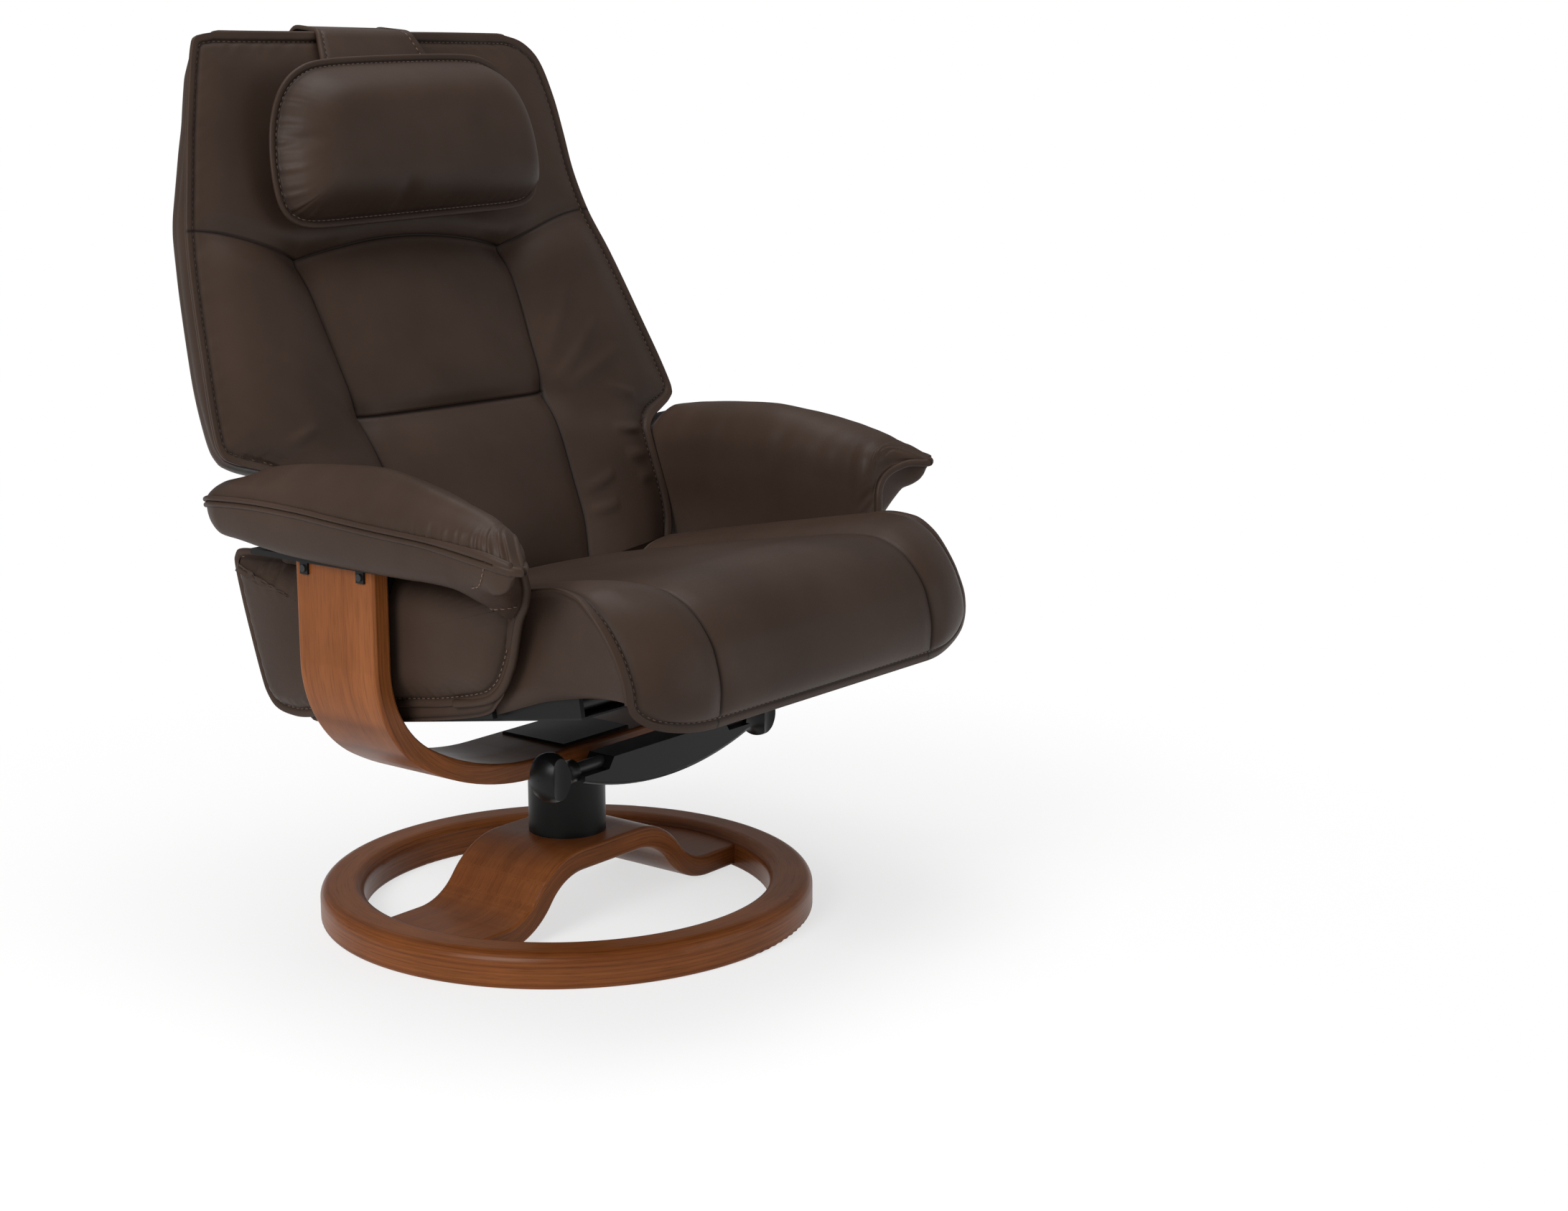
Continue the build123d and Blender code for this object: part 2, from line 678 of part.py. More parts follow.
def make_seat_cushion():
    """Crowned centre panel between two sewn channels, with a raised bolster along each side."""
    seam, side = SEAT_SEAM_X, seat_half_w
    centre = loft([
        seat_section(-seam, 0, 0),
        seat_section(-seam / 2, SEAT_CROWN * 0.8, 0),
        seat_section(0, SEAT_CROWN, 0),
        seat_section(seam / 2, SEAT_CROWN * 0.8, 0),
        seat_section(seam, 0, 0)])
    width = side - seam
    bolster = loft([
        seat_section(seam, 0, 0),
        seat_section(seam + width * 0.35, SEAT_BOLSTER * 0.8, SEAT_NOSE_SIDE * 0.3),
        seat_section(seam + width * 0.75, SEAT_BOLSTER, SEAT_NOSE_SIDE * 0.8),
        seat_section(side, SEAT_BOLSTER * 0.5, SEAT_NOSE_SIDE)])
    cushion = centre + bolster + mirrored(bolster)
    depth = RAIL_H + WEB_T + SOFT_GAP
    gap = SOFT_GAP
    pocket = box_between(
        (-rail_x - gap, -FRAME_FRONT - gap, -2 * depth), (rail_x + gap, 2 * FRAME_REAR, depth))
    open_side = box_between(
        (-2 * side, -SEAT_SKIRT_REAR, -2 * depth), (2 * side, 2 * FRAME_REAR, depth))
    return cushion - seat_frame_plane * pocket - seat_frame_plane * open_side


# Back
def tube_y(z):
    """Depth of the back tube's middle line at height z, just clear of the cushion's rear face."""
    clear = (BACK_TUBE_R + SOFT_GAP) / math.cos(math.radians(BACK_LEAN))
    return edge_y(z) + BACK_EDGE + clear


def back_section(z, half_w, seam_x, dish, crown, bolster, side_tuck):
    """Cushion cross-section at z: side bolsters, and a crowned centre panel set back between two channels."""
    y = edge_y(z)
    rear = y + BACK_EDGE
    inner = half_w - side_tuck
    face = closed_face(
        bulged((-half_w, y), (-seam_x, y + dish), -bolster),
        bulged((-seam_x, y + dish), (seam_x, y + dish), -crown),
        bulged((seam_x, y + dish), (half_w, y), -bolster),
        bulged((half_w, y), (inner, rear), -side_tuck * 0.3),
        Line((inner, rear), (-inner, rear)),
        bulged((-inner, rear), (-half_w, y), -side_tuck * 0.3),
    )
    return Plane.XY.offset(z) * face


def head_section(z, half_w, front_y, crown, rear, side_tuck):
    y = edge_y(z) + front_y
    inner = half_w - side_tuck
    back = edge_y(z) + rear
    face = closed_face(
        bulged((-half_w, y), (half_w, y), -crown),
        bulged((half_w, y), (inner, back), -side_tuck * 0.3),
        Line((inner, back), (-inner, back)),
        bulged((-inner, back), (-half_w, y), -side_tuck * 0.3),
    )
    return Plane.XY.offset(z) * face


def make_back_cushion():
    """Lumbar part between the arms, wings above them, and the head part over the shoulder seam."""
    dish, crown, bolster, tuck = BACK_DISH, BACK_CROWN, BACK_BOLSTER, SEAT_LIP
    lumbar_h = wing_z - foot_z
    arms = seat_half_w
    low_w = (FOOT_HALF_W + arms) / 2
    lumbar = loft([
        back_section(foot_z, FOOT_HALF_W, SEAM_FOOT_X, dish * 0.1, crown * 0.5, bolster * 0.5, tuck),
        back_section(foot_z + lumbar_h * 0.25, low_w, SEAM_FOOT_X, dish * 0.3, crown, bolster, tuck),
        back_section(foot_z + lumbar_h * 0.65, arms, SEAM_MID_X, dish * 0.7, crown, bolster, tuck),
        back_section(wing_z, arms, SEAM_MID_X, dish, crown * 0.6, bolster, tuck)])
    wing_h = shoulder_z - wing_z
    upper_w = (WING_MID_W + 2 * SHOULDER_HALF_W) / 3
    mid_seam = (SEAM_MID_X + SEAM_TOP_X) / 2
    wings = loft([
        back_section(wing_z, WING_HALF_W, SEAM_MID_X, dish, crown * 0.6, bolster, tuck),
        back_section(wing_z + wing_h * 0.42, WING_MID_W, mid_seam, dish, crown, bolster, tuck),
        back_section(wing_z + wing_h * 0.8, upper_w, SEAM_TOP_X, dish, crown, bolster, tuck),
        back_section(shoulder_z, SHOULDER_HALF_W, SEAM_TOP_X, dish * 0.6, crown * 0.3, bolster * 0.6, tuck)])
    head_h = cap_z - shoulder_z
    slope = (SHOULDER_HALF_W - TOP_HALF_W) / (back_top - shoulder_z)
    cap_w = SHOULDER_HALF_W - slope * head_h
    head_mid = head_h * 0.4
    edge = BACK_EDGE
    head = loft([
        head_section(shoulder_z, SHOULDER_HALF_W, 0, HEAD_CROWN, edge, tuck),
        head_section(shoulder_z + head_mid, SHOULDER_HALF_W - slope * head_mid, 0, HEAD_CROWN, edge, tuck),
        head_section(cap_z, cap_w, 0, HEAD_CROWN, edge, tuck)])
    cap = loft([
        head_section(cap_z, cap_w, 0, HEAD_CROWN, edge, tuck),
        head_section(cap_z + HEAD_CAP * 0.65, cap_w * 0.95, edge * 0.1, HEAD_CROWN * 0.5, edge, tuck),
        head_section(back_top, cap_w * 0.86, edge * 0.45, HEAD_CROWN * 0.2, edge, tuck)])
    return lumbar + wings + head + cap


def cover_section(z, half_w, depth, inset):
    """Rear shell cross-section at z, from the cushion's rear face back by depth."""
    front = edge_y(z) + BACK_EDGE
    rear = front + depth - inset
    outer = half_w - inset
    corner = outer - depth * 0.75
    face = closed_face(
        Line((-outer, front), (outer, front)),
        bulged((outer, front), (corner, rear), -depth * 0.12),
        Line((corner, rear), (-corner, rear)),
        bulged((-corner, rear), (-outer, front), -depth * 0.12),
    )
    return Plane.XY.offset(z) * face


def cover_depth(z):
    """Depth of the rear shell, thinner towards the top of the head part."""
    if z <= shoulder_z:
        return COVER_D
    share = (z - shoulder_z) / (back_top - shoulder_z)
    return COVER_D + (HEAD_COVER_D - COVER_D) * share


def cover_levels():
    """Heights and half-widths of the rear shell, a little inside the cushion's edge."""
    tuck = SEAT_LIP
    slope = (SHOULDER_HALF_W - TOP_HALF_W) / (back_top - shoulder_z)
    cap_w = SHOULDER_HALF_W - slope * (cap_z - shoulder_z)
    lower = [(foot_z, FOOT_HALF_W - tuck), (wing_z, seat_half_w - tuck)]
    wing_h = shoulder_z - wing_z
    upper = [
        (wing_z, WING_HALF_W - tuck),
        (wing_z + wing_h * 0.42, WING_MID_W - tuck),
        (shoulder_z, SHOULDER_HALF_W - tuck),
        (cap_z, cap_w - tuck),
        (back_top - HEAD_CAP / 2, cap_w * 0.93 - tuck)]
    return lower, upper


def make_back_cover():
    """Upholstered rear shell, hollow towards the cushion and open at the foot for the frame."""
    shell = None
    for levels in cover_levels():
        outer = loft([cover_section(z, w, cover_depth(z), 0) for z, w in levels], ruled=True)
        shell = outer if shell is None else shell + outer
    lower, upper = cover_levels()
    below = lower[0][0] - SHELL_T
    lower_in = [(below, lower[0][1]), (upper[0][0] + SHELL_T, lower[1][1])]
    upper_in = [(upper[0][0] + SHELL_T, upper[0][1])] + upper[1:-1]
    upper_in[-1] = (upper_in[-1][0] - SHELL_T, upper_in[-1][1])
    for levels in (lower_in, upper_in):
        shell -= loft([cover_section(z, w, cover_depth(z), SHELL_T) for z, w in levels], ruled=True)
    return shell


def back_tube_x():
    return ear_x - RAIL_T - SOFT_GAP - HINGE_BOSS_W / 2


def make_back_frame():
    x = back_tube_x()
    top = cap_z - SHELL_T - 2 * BACK_TUBE_R
    points = [
        (-x, tube_y(hinge_z), hinge_z), (-x, tube_y(shoulder_z), shoulder_z),
        (-BACK_TUBE_TOP_X, tube_y(top), top), (BACK_TUBE_TOP_X, tube_y(top), top),
        (x, tube_y(shoulder_z), shoulder_z), (x, tube_y(hinge_z), hinge_z)]
    path = FilletPolyline(*points, radius=BACK_TUBE_BEND)
    tube = sweep(Plane(origin=path @ 0, z_dir=path % 0) * Circle(BACK_TUBE_R), path)
    hinge = hinge_point()
    for side in (-1, 1):
        inner, outer = side * (x - HINGE_BOSS_W / 2), side * (x + HINGE_BOSS_W / 2)
        tube += rod_x(HINGE_BOSS_R, inner, outer, hinge.Y, hinge.Z)
        tube -= rod_x(HINGE_PIN_R + RUN_FIT, inner - side, outer + side, hinge.Y, hinge.Z)
    return tube


def make_hinge_pins():
    hinge = hinge_point()
    inner = back_tube_x() - HINGE_BOSS_W / 2
    pin = rod_x(HINGE_PIN_R, inner, ear_x, hinge.Y, hinge.Z)
    return Compound([pin, mirrored(pin)])


def make_back_webbing():
    """Elastic straps across the back's tubes, on the cushion's rear face between them."""
    straps = []
    low, high = foot_z + BACK_WEB_W, shoulder_z - BACK_WEB_W
    half = back_tube_x() - BACK_TUBE_R - SOFT_GAP
    for index in range(BACK_WEB_COUNT):
        z = low + (high - low) * index / (BACK_WEB_COUNT - 1)
        plane = Plane(origin=(0, edge_y(z) + BACK_EDGE, z), x_dir=(1, 0, 0),
                      z_dir=Vector(0, 1, 0).rotate(Axis.X, -BACK_LEAN))
        straps.append(plane * Pos(0, 0, BACK_WEB_T / 2 + SOFT_GAP) * Box(2 * half, BACK_WEB_W, BACK_WEB_T))
    return Compound(straps)


# Head pillow, strap and counterweight
def pillow_y():
    """Depth of the pillow's middle, with its curved rear face just clear of the strap's front run."""
    reach = (PILLOW_HALF_H ** 2 + PILLOW_REAR ** 2) / (2 * PILLOW_REAR)
    tilt = math.radians(HEAD_LEAN - PILLOW_LEAN)
    support = reach - (reach - PILLOW_REAR - PILLOW_RIM / 2) * math.cos(tilt)
    strap_front = edge_y(cap_z) - HEAD_CROWN - SOFT_GAP - STRAP_T
    lean = math.radians(HEAD_LEAN)
    drop = cap_z - seat_z - PILLOW_RISE
    return strap_front - (drop * math.sin(lean) + support + SOFT_GAP) / math.cos(lean)


def pillow_section(x, height, front, rear):
    """Pillow profile across x: a lens with a sewn rim at its top and bottom."""
    rim = PILLOW_RIM / 2
    face = closed_face(
        Line((-rim, height), (rim, height)),
        bulged((rim, height), (rim, -height), rear),
        Line((rim, -height), (-rim, -height)),
        bulged((-rim, -height), (-rim, height), front),
    )
    middle = Vector(x, pillow_y(), seat_z + PILLOW_RISE)
    upright = Vector(0, 0, 1).rotate(Axis.X, -PILLOW_LEAN)
    plane = Plane(origin=middle, x_dir=upright.cross(Vector(1, 0, 0)), z_dir=(1, 0, 0))
    return plane * face


def make_head_pillow():
    w, h, front, rear = PILLOW_HALF_W, PILLOW_HALF_H, PILLOW_FRONT, PILLOW_REAR
    half = [
        (0.35, 1.0, 0.98, 0.98),
        (0.70, 0.98, 0.85, 0.85),
        (0.90, 0.86, 0.52, 0.55),
        (1.0, 0.60, 0.10, 0.10)]
    stations = [(-a, b, c, d) for a, b, c, d in reversed(half)] + [(0, 0.98, 1.0, 1.0)] + half
    return loft([pillow_section(w * a, h * b, front * c, rear * d) for a, b, c, d in stations])


def rear_lean():
    """Lean of the rear shell's face over the head part, in degrees."""
    rise = cap_z - shoulder_z
    run = edge_y(cap_z) + cover_depth(cap_z) - edge_y(shoulder_z) - cover_depth(shoulder_z)
    return math.degrees(math.atan2(run, rise))


def strap_path():
    """Start, heading and runs of the strap's middle line in the YZ plane, front to rear."""
    clear = SOFT_GAP + STRAP_T / 2
    front = edge_y(cap_z) - HEAD_CROWN - clear
    rear = edge_y(cap_z) + BACK_EDGE + cover_depth(cap_z) + clear
    over = back_top + clear
    bend = STRAP_BEND
    lean, tail = math.radians(HEAD_LEAN), math.radians(rear_lean())
    corner_y = front + (over - cap_z) * math.tan(lean)
    rear_y = rear + (over - cap_z) * math.tan(tail)
    turn_in, turn_out = 90 - HEAD_LEAN, 90 + rear_lean()
    cut_in = bend * math.tan(math.radians(turn_in) / 2)
    cut_out = bend * math.tan(math.radians(turn_out) / 2)
    reach = STRAP_FRONT_RUN + cut_in
    start = (corner_y - reach * math.sin(lean), over - reach * math.cos(lean))
    across = rear_y - corner_y - cut_in - cut_out
    runs = [(0, STRAP_FRONT_RUN), (bend, -turn_in), (0, across), (bend, -turn_out), (0, STRAP_REAR_RUN)]
    return start, 90 - HEAD_LEAN, runs, (rear_y, over), cut_out


def make_pillow_strap():
    start, heading, runs, _, _ = strap_path()
    face = bent_strip(start, heading, runs, STRAP_T)
    return extrude(Plane.YZ * face, STRAP_W / 2, both=True)


def make_counterweight():
    """Weighted pouch behind the strap's rear run, which it laps."""
    _, _, _, corner, cut_out = strap_path()
    tail = math.radians(rear_lean())
    down = Vector(0, -math.sin(tail), -math.cos(tail))
    outward = Vector(0, math.cos(tail), -math.sin(tail))
    top = Vector(0, *corner) + down * (cut_out + STRAP_REAR_RUN - WEIGHT_LAP)
    middle = top + down * (WEIGHT_H / 2) + outward * (STRAP_T / 2 + SOFT_GAP + WEIGHT_T / 2)
    plane = Plane(origin=middle, x_dir=(1, 0, 0), z_dir=outward)
    pouch = Box(WEIGHT_W, WEIGHT_H, WEIGHT_T)
    return plane * fillet(pouch.edges(), WEIGHT_ROUND)


def make_parts():
    arm_bracket, arm_pad, side_panel = make_arm_bracket(), make_arm_pad(), make_side_panel()
    glide_plate, knob = make_glide_plate(), make_tension_knob()
    tube_floor = LEG_TOP_Z + FLANGE_T
    bush_waist = TUBE_R - TUBE_WALL - 1
    return {
        "base_ring": make_base_ring(),
        "felt_pads": make_felt_pads(),
        "base_leg": make_base_leg(),
        "leg_dowels": make_leg_dowels(),
        "column_tube": make_column_tube(),
        "column_bolts": make_column_bolts(),
        "column_cover": make_column_cover(),
        "lower_bush": make_bush(tube_floor, tube_floor + BUSH_LEN, bush_waist),
        "upper_bush": make_bush(tube_top - BUSH_LEN, tube_top, bush_waist),
        "thrust_washer": make_thrust_washer(),
        "swivel_spindle": make_spindle(),
        "arm_frame": make_arm_frame(),
        "frame_plate": make_frame_plate(),
        "frame_bolts": make_frame_bolts(),
        "tension_bracket": make_tension_bracket(),
        "tension_housing": make_tension_housing(),
        "tension_shaft": make_tension_shaft(),
        "tension_knob_left": knob,
        "tension_knob_right": mirrored(knob),
        "arm_bracket_left": arm_bracket,
        "arm_bracket_right": mirrored(arm_bracket),
        "bracket_screws": make_bracket_screws(),
        "arm_pad_left": arm_pad,
        "arm_pad_right": mirrored(arm_pad),
        "side_panel_left": side_panel,
        "side_panel_right": mirrored(side_panel),
        "glide_plate_left": glide_plate,
        "glide_plate_right": mirrored(glide_plate),
        "glide_pins": make_glide_pins(),
        "glide_rollers": make_glide_rollers(),
        "seat_frame": make_seat_frame(),
        "seat_webbing": make_seat_webbing(),
        "seat_dust_cover": make_dust_cover(),
        "seat_cushion": make_seat_cushion(),
        "hinge_pins": make_hinge_pins(),
        "back_frame": make_back_frame(),
        "back_webbing": make_back_webbing(),
        "back_cushion": make_back_cushion(),
        "back_cover": make_back_cover(),
        "head_pillow": make_head_pillow(),
        "pillow_strap": make_pillow_strap(),
        "pillow_counterweight": make_counterweight(),
    }


os.makedirs("parts", exist_ok=True)
for node, shape in make_parts().items():
    export_step(shape, f"parts/{node}.step")
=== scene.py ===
"""Looks of the swivel recliner: leather upholstery, stained bent wood and black fittings.

Metres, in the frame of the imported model: +Z up, the sitter faces -Y, +X is the sitter's left.
"""

import json
import math

import bpy
import numpy as np
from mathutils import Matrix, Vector
from mathutils.bvhtree import BVHTree


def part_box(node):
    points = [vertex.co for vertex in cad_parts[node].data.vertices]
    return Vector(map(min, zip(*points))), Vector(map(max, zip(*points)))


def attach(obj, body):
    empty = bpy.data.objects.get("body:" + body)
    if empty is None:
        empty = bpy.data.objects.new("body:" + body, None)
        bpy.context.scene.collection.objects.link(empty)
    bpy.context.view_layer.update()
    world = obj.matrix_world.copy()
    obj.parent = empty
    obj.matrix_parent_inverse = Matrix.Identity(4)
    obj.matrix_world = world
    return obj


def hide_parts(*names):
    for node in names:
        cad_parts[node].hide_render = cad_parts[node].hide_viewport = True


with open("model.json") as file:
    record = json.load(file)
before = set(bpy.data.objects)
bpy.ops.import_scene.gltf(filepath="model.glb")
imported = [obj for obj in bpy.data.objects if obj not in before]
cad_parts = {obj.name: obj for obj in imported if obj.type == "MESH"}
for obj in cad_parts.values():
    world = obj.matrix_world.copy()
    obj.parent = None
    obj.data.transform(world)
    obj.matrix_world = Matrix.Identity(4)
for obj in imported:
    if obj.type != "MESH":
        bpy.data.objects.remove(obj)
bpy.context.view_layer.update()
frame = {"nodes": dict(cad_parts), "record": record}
nodes = frame["nodes"]

TAU = 2 * math.pi

# Camera that took the photograph
CAMERA_PLACE = (-2.1338, -1.9712, 0.9832)
CAMERA_AZIMUTH = -52.5
CAMERA_ELEVATION = 11.88
CAMERA_LENS = 56.55
SENSOR_WIDTH = 36.0

# Sewn edges: width of the folded lip, its thickness, and the stitches along it
LIP = 0.010
LIP_T = 0.005
STITCH_PITCH = 0.0075
STITCH_LEN = 0.0052
STITCH_R = 0.0008
STITCH_SIDES = 5
STITCH_SHAPE = ((-0.5, 0.35, -0.6), (-0.3, 1.0, 0.2), (0.3, 1.0, 0.2), (0.5, 0.35, -0.6))
STITCH_SET = 0.0002
PUCKERED_EDGE = 1.1

# Seams: widths and depths of the lip's groove, the crease and the valley round it, and the strength and
# widths of the shade painted along the groove behind the lip and along the seams
LIP_ROUND = 0.002
LIP_GROOVE_W = 0.0018
LIP_SHADE = 0.7
LIP_SHADE_W = 0.0024
SEAM_SHADE_W = 0.0025
CREASE_W = 0.0026
SEAM_DEPTH = 0.0030
SEAM_VALLEY = (0.0034, 0.013)
TUBE_END = 0.35

# Offsets of mesh lines beside a seam and beside a lip
FINE = (0.0, 0.0012, 0.003, 0.006, 0.010)
LIP_FINE = (0.0, 0.0015, 0.0035, 0.006, 0.0085, 0.010, 0.0115, 0.014, 0.018, 0.024)

# Back: edge line, outline and panel seams, as (height, value)
SHOULDER_Y = 0.253
SHOULDER_Z = 0.826
BACK_LEAN = math.radians(23.06)
HEAD_LEAN = math.radians(13.47)
LEAN_BLEND = 0.02
BACK_FOOT = 0.400
BACK_TOP = 1.044
CROSS_SEAM_Z = 0.603
NOTCH_LOW = 0.530
BACK_HALF_W = (
    (0.400, 0.276), (0.440, 0.294), (0.470, 0.298), (0.520, 0.2985), (0.538, 0.3005), (0.550, 0.3065),
    (0.560, 0.322), (0.568, 0.345), (0.576, 0.368), (0.585, 0.3815), (0.597, 0.3845), (0.612, 0.383),
    (0.684, 0.369), (0.770, 0.350))
TOP_LEFT_W = (
    (0.826, 0.332), (0.886, 0.3185), (0.922, 0.3155), (0.957, 0.3115), (0.985, 0.3050), (1.005, 0.2980),
    (1.020, 0.2890), (1.031, 0.2760), (1.039, 0.2600), (1.044, 0.2370))
TOP_RIGHT_W = (
    (0.826, 0.335), (0.886, 0.318), (0.930, 0.306), (0.985, 0.289), (1.015, 0.2790), (1.030, 0.2730),
    (1.037, 0.2690), (1.041, 0.2610), (1.044, 0.2410))
EDGE_FORWARD = (
    (0.400, 0.008), (0.440, 0.010), (0.470, 0.012), (0.500, 0.014), (0.530, 0.015), (0.550, 0.013),
    (0.565, 0.008), (0.580, 0.002), (0.600, 0.0))
PANEL_SEAM_X = (
    (0.400, 0.128), (0.457, 0.146), (0.500, 0.150), (0.550, 0.155), (0.610, 0.159), (0.680, 0.165),
    (0.740, 0.170), (0.784, 0.171), (1.044, 0.171))
VALLEY = (
    (0.400, 0.004), (0.457, 0.002), (0.550, -0.001), (0.603, -0.007), (0.680, -0.010), (0.740, -0.011),
    (0.784, -0.012), (0.826, -0.002))
HEAD_SWELL = ((0.780, 0.003), (0.826, 0.006), (0.890, 0.008), (1.000, 0.0075), (1.044, 0.004))

# Back: rises, dents as (depth, width) and the lip as (rise, groove)
CORNER_DROP = 0.042
ARCH_RISE = 0.022
PANEL_CROWN = 0.015
BOLSTER_CROWN = 0.017
CORNER_PULL = (0.010, 0.028)
CROSS_PULL = (0.006, 0.022)
EDGE_ROUND = 0.050
BACK_LIP = (0.0016, 0.0026)
BACK_STITCH_FOOT = 0.42

# Back: depth of the boxing and of the rear, roundness of the shell, and the raised top
BOXING_D = (
    (0.400, 0.010), (0.560, 0.010), (0.615, 0.022), (0.685, 0.031), (0.826, 0.031), (0.879, 0.024),
    (0.915, 0.017), (0.955, 0.0095), (1.044, 0.0090))
SHELL_ACROSS = ((0.600, 0.80), (0.760, 0.78), (0.860, 0.72), (0.995, 0.70), (1.030, 0.90))
SHELL_DEPTH = ((0.600, 0.90), (0.760, 0.90), (0.860, 0.88), (0.995, 0.86), (1.030, 1.10))
TOP_LIFT = (0.001, 0.004)
TOP_LIFT_X = (-0.25, 0.20)
TOP_LIFT_FOOT = 0.93
TOP_CLOSE = ((0.96, 0.0010), (0.88, 0.0020), (0.7, 0.0032), (0.35, 0.0040))
TOP_CLOSE_ACROSS = 0.15
REAR_D = ((0.400, 0.085), (0.826, 0.085), (0.950, 0.083), (1.000, 0.078), (1.044, 0.064))

# Seat, in its own frame: distance rearward and height along the tilted base
SEAT_Z = 0.291
SEAT_PITCH = math.radians(9.37)
SEAT_HALF_W = 0.297
SEAT_SEAM_X = 0.195
SEAT_MIDDLE = (
    (0.026, 0.124), (-0.10, 0.127), (-0.22, 0.128), (-0.302, 0.128), (-0.3415, 0.1235), (-0.375, 0.107),
    (-0.3975, 0.082), (-0.410, 0.052), (-0.413, 0.020), (-0.408, -0.010), (-0.398, -0.030))
SEAT_SIDE = (
    (0.026, 0.132), (-0.10, 0.138), (-0.22, 0.142), (-0.285, 0.143), (-0.325, 0.134), (-0.349, 0.114),
    (-0.366, 0.087), (-0.377, 0.060), (-0.383, 0.030), (-0.379, -0.004), (-0.371, -0.024))
SEAT_CROWN = 0.007
SEAT_EDGE_ROUND = 0.030
SEAT_EDGE_DROP = 0.0035
SEAT_LIP = (0.0014, 0.0024)
SEAT_FLOOR_HALF_W = 0.275
SEAT_BOLSTER = 0.007
SEAT_CORNER_X = 0.205
SEAT_CORNER_RISE = 0.045
SEAT_BASE_LIFT = (
    (-0.330, 0.020), (-0.306, 0.021), (-0.257, 0.019), (-0.216, 0.013), (-0.185, 0.007), (-0.140, 0.0))
SEAT_FLARE = 0.014
SEAT_BASE_FRONT = -0.330
SEAT_BASE_REAR = 0.026

# Arms: heights and half-widths along the pad, as (depth, value)
ARM_FRONT = -0.288
ARM_REAR = 0.192
ARM_TOP = (
    (-0.288, 0.5215), (-0.278, 0.5285), (-0.265, 0.5370), (-0.245, 0.5480), (-0.213, 0.5605),
    (-0.178, 0.5705), (-0.144, 0.5780), (-0.107, 0.5840), (-0.055, 0.5890), (0.005, 0.5865),
    (0.080, 0.5795), (0.140, 0.5670), (0.165, 0.5590), (0.184, 0.5470), (0.192, 0.5340))
ARM_WELT = (
    (-0.288, 0.5175), (-0.270, 0.5210), (-0.255, 0.5230), (-0.212, 0.5250), (-0.154, 0.5275),
    (-0.095, 0.5300), (-0.034, 0.5335), (0.029, 0.5375), (0.093, 0.5390), (0.167, 0.5360),
    (0.192, 0.5300))
ARM_UNDER = (
    (-0.288, 0.5150), (-0.283, 0.5110), (-0.279, 0.5050), (-0.2755, 0.4970), (-0.268, 0.4890),
    (-0.252, 0.4820), (-0.235, 0.4795), (-0.200, 0.4800), (-0.100, 0.4795), (-0.066, 0.4800),
    (0.000, 0.4815), (0.054, 0.4835), (0.099, 0.4875), (0.140, 0.4925), (0.168, 0.4955), (0.185, 0.5030),
    (0.192, 0.5120))
ARM_SKIRT = (
    (-0.288, 0.5145), (-0.271, 0.5160), (-0.258, 0.5115), (-0.250, 0.5035), (-0.247, 0.4940),
    (-0.2455, 0.4800), (-0.242, 0.4620), (-0.230, 0.4400), (-0.216, 0.4130), (-0.208, 0.4030),
    (0.120, 0.4030), (0.140, 0.4400), (0.160, 0.4850), (0.192, 0.5090))
ARM_INNER = (
    (-0.288, 0.3700), (-0.284, 0.3660), (-0.271, 0.3490), (-0.258, 0.3340), (-0.250, 0.3220),
    (-0.2455, 0.3120), (-0.240, 0.3050), (-0.232, 0.3010), (-0.220, 0.2995), (0.150, 0.2995),
    (0.180, 0.3050), (0.192, 0.3160))
ARM_OUTER = (
    (-0.288, 0.3785), (-0.284, 0.3810), (-0.275, 0.3845), (-0.260, 0.3880), (-0.240, 0.3895),
    (-0.200, 0.3900), (0.100, 0.3900), (0.160, 0.3880), (0.184, 0.3800), (0.192, 0.3680))
ARM_CHIN_X = (
    (-0.288, 0.3735), (-0.284, 0.3710), (-0.271, 0.3540), (-0.258, 0.3390), (-0.250, 0.3270),
    (-0.247, 0.3200), (-0.2455, 0.3160), (-0.242, 0.3145), (-0.230, 0.3120), (-0.216, 0.3080),
    (-0.205, 0.3050))

# Fronts of the two arms: moves in depth and height, and the ranges over which they set in
ARM_NOSE_MOVE = {"left": (0.014, 0.012), "right": (-0.001, -0.009)}
ARM_CROWN_MOVE = {"left": (0.002, -0.003), "right": (0.003, 0.0135)}
ARM_NOSE_TUCK = {"left": 0.0, "right": 0.0075}
ARM_NOSE_DIP = {"left": 0.0, "right": 0.0215}
ARM_REAR_DIP = 0.020
NOSE_Y = (-0.150, -0.285)
NOSE_Z = (0.430, 0.500)
NOSE_INNER_X = (0.356, 0.318)
NOSE_CROWN_Z = (0.519, 0.541)
ARM_UPPER_Z = (0.500, 0.530)
TUCK_X = (0.352, 0.316)
TUCK_Y = (-0.160, -0.220)
TUCK_Z = (0.385, 0.455)
REAR_DIP_X = (0.376, 0.330)
REAR_DIP_Y = (0.110, 0.152)

# Gathers and folds of the arms: where they set in, their length and their height
GATHER_WELT_Y = (-0.08, -0.19)
GATHER_LIP_Y = (-0.236, -0.256)
GATHER_TURN_Y = (-0.225, -0.262)
INNER_FOLD_Y = (-0.190, -0.225)
GATHER_LEN = 0.0125
GATHER_RISE = 0.0019
INNER_FOLD_RISE = 0.0014

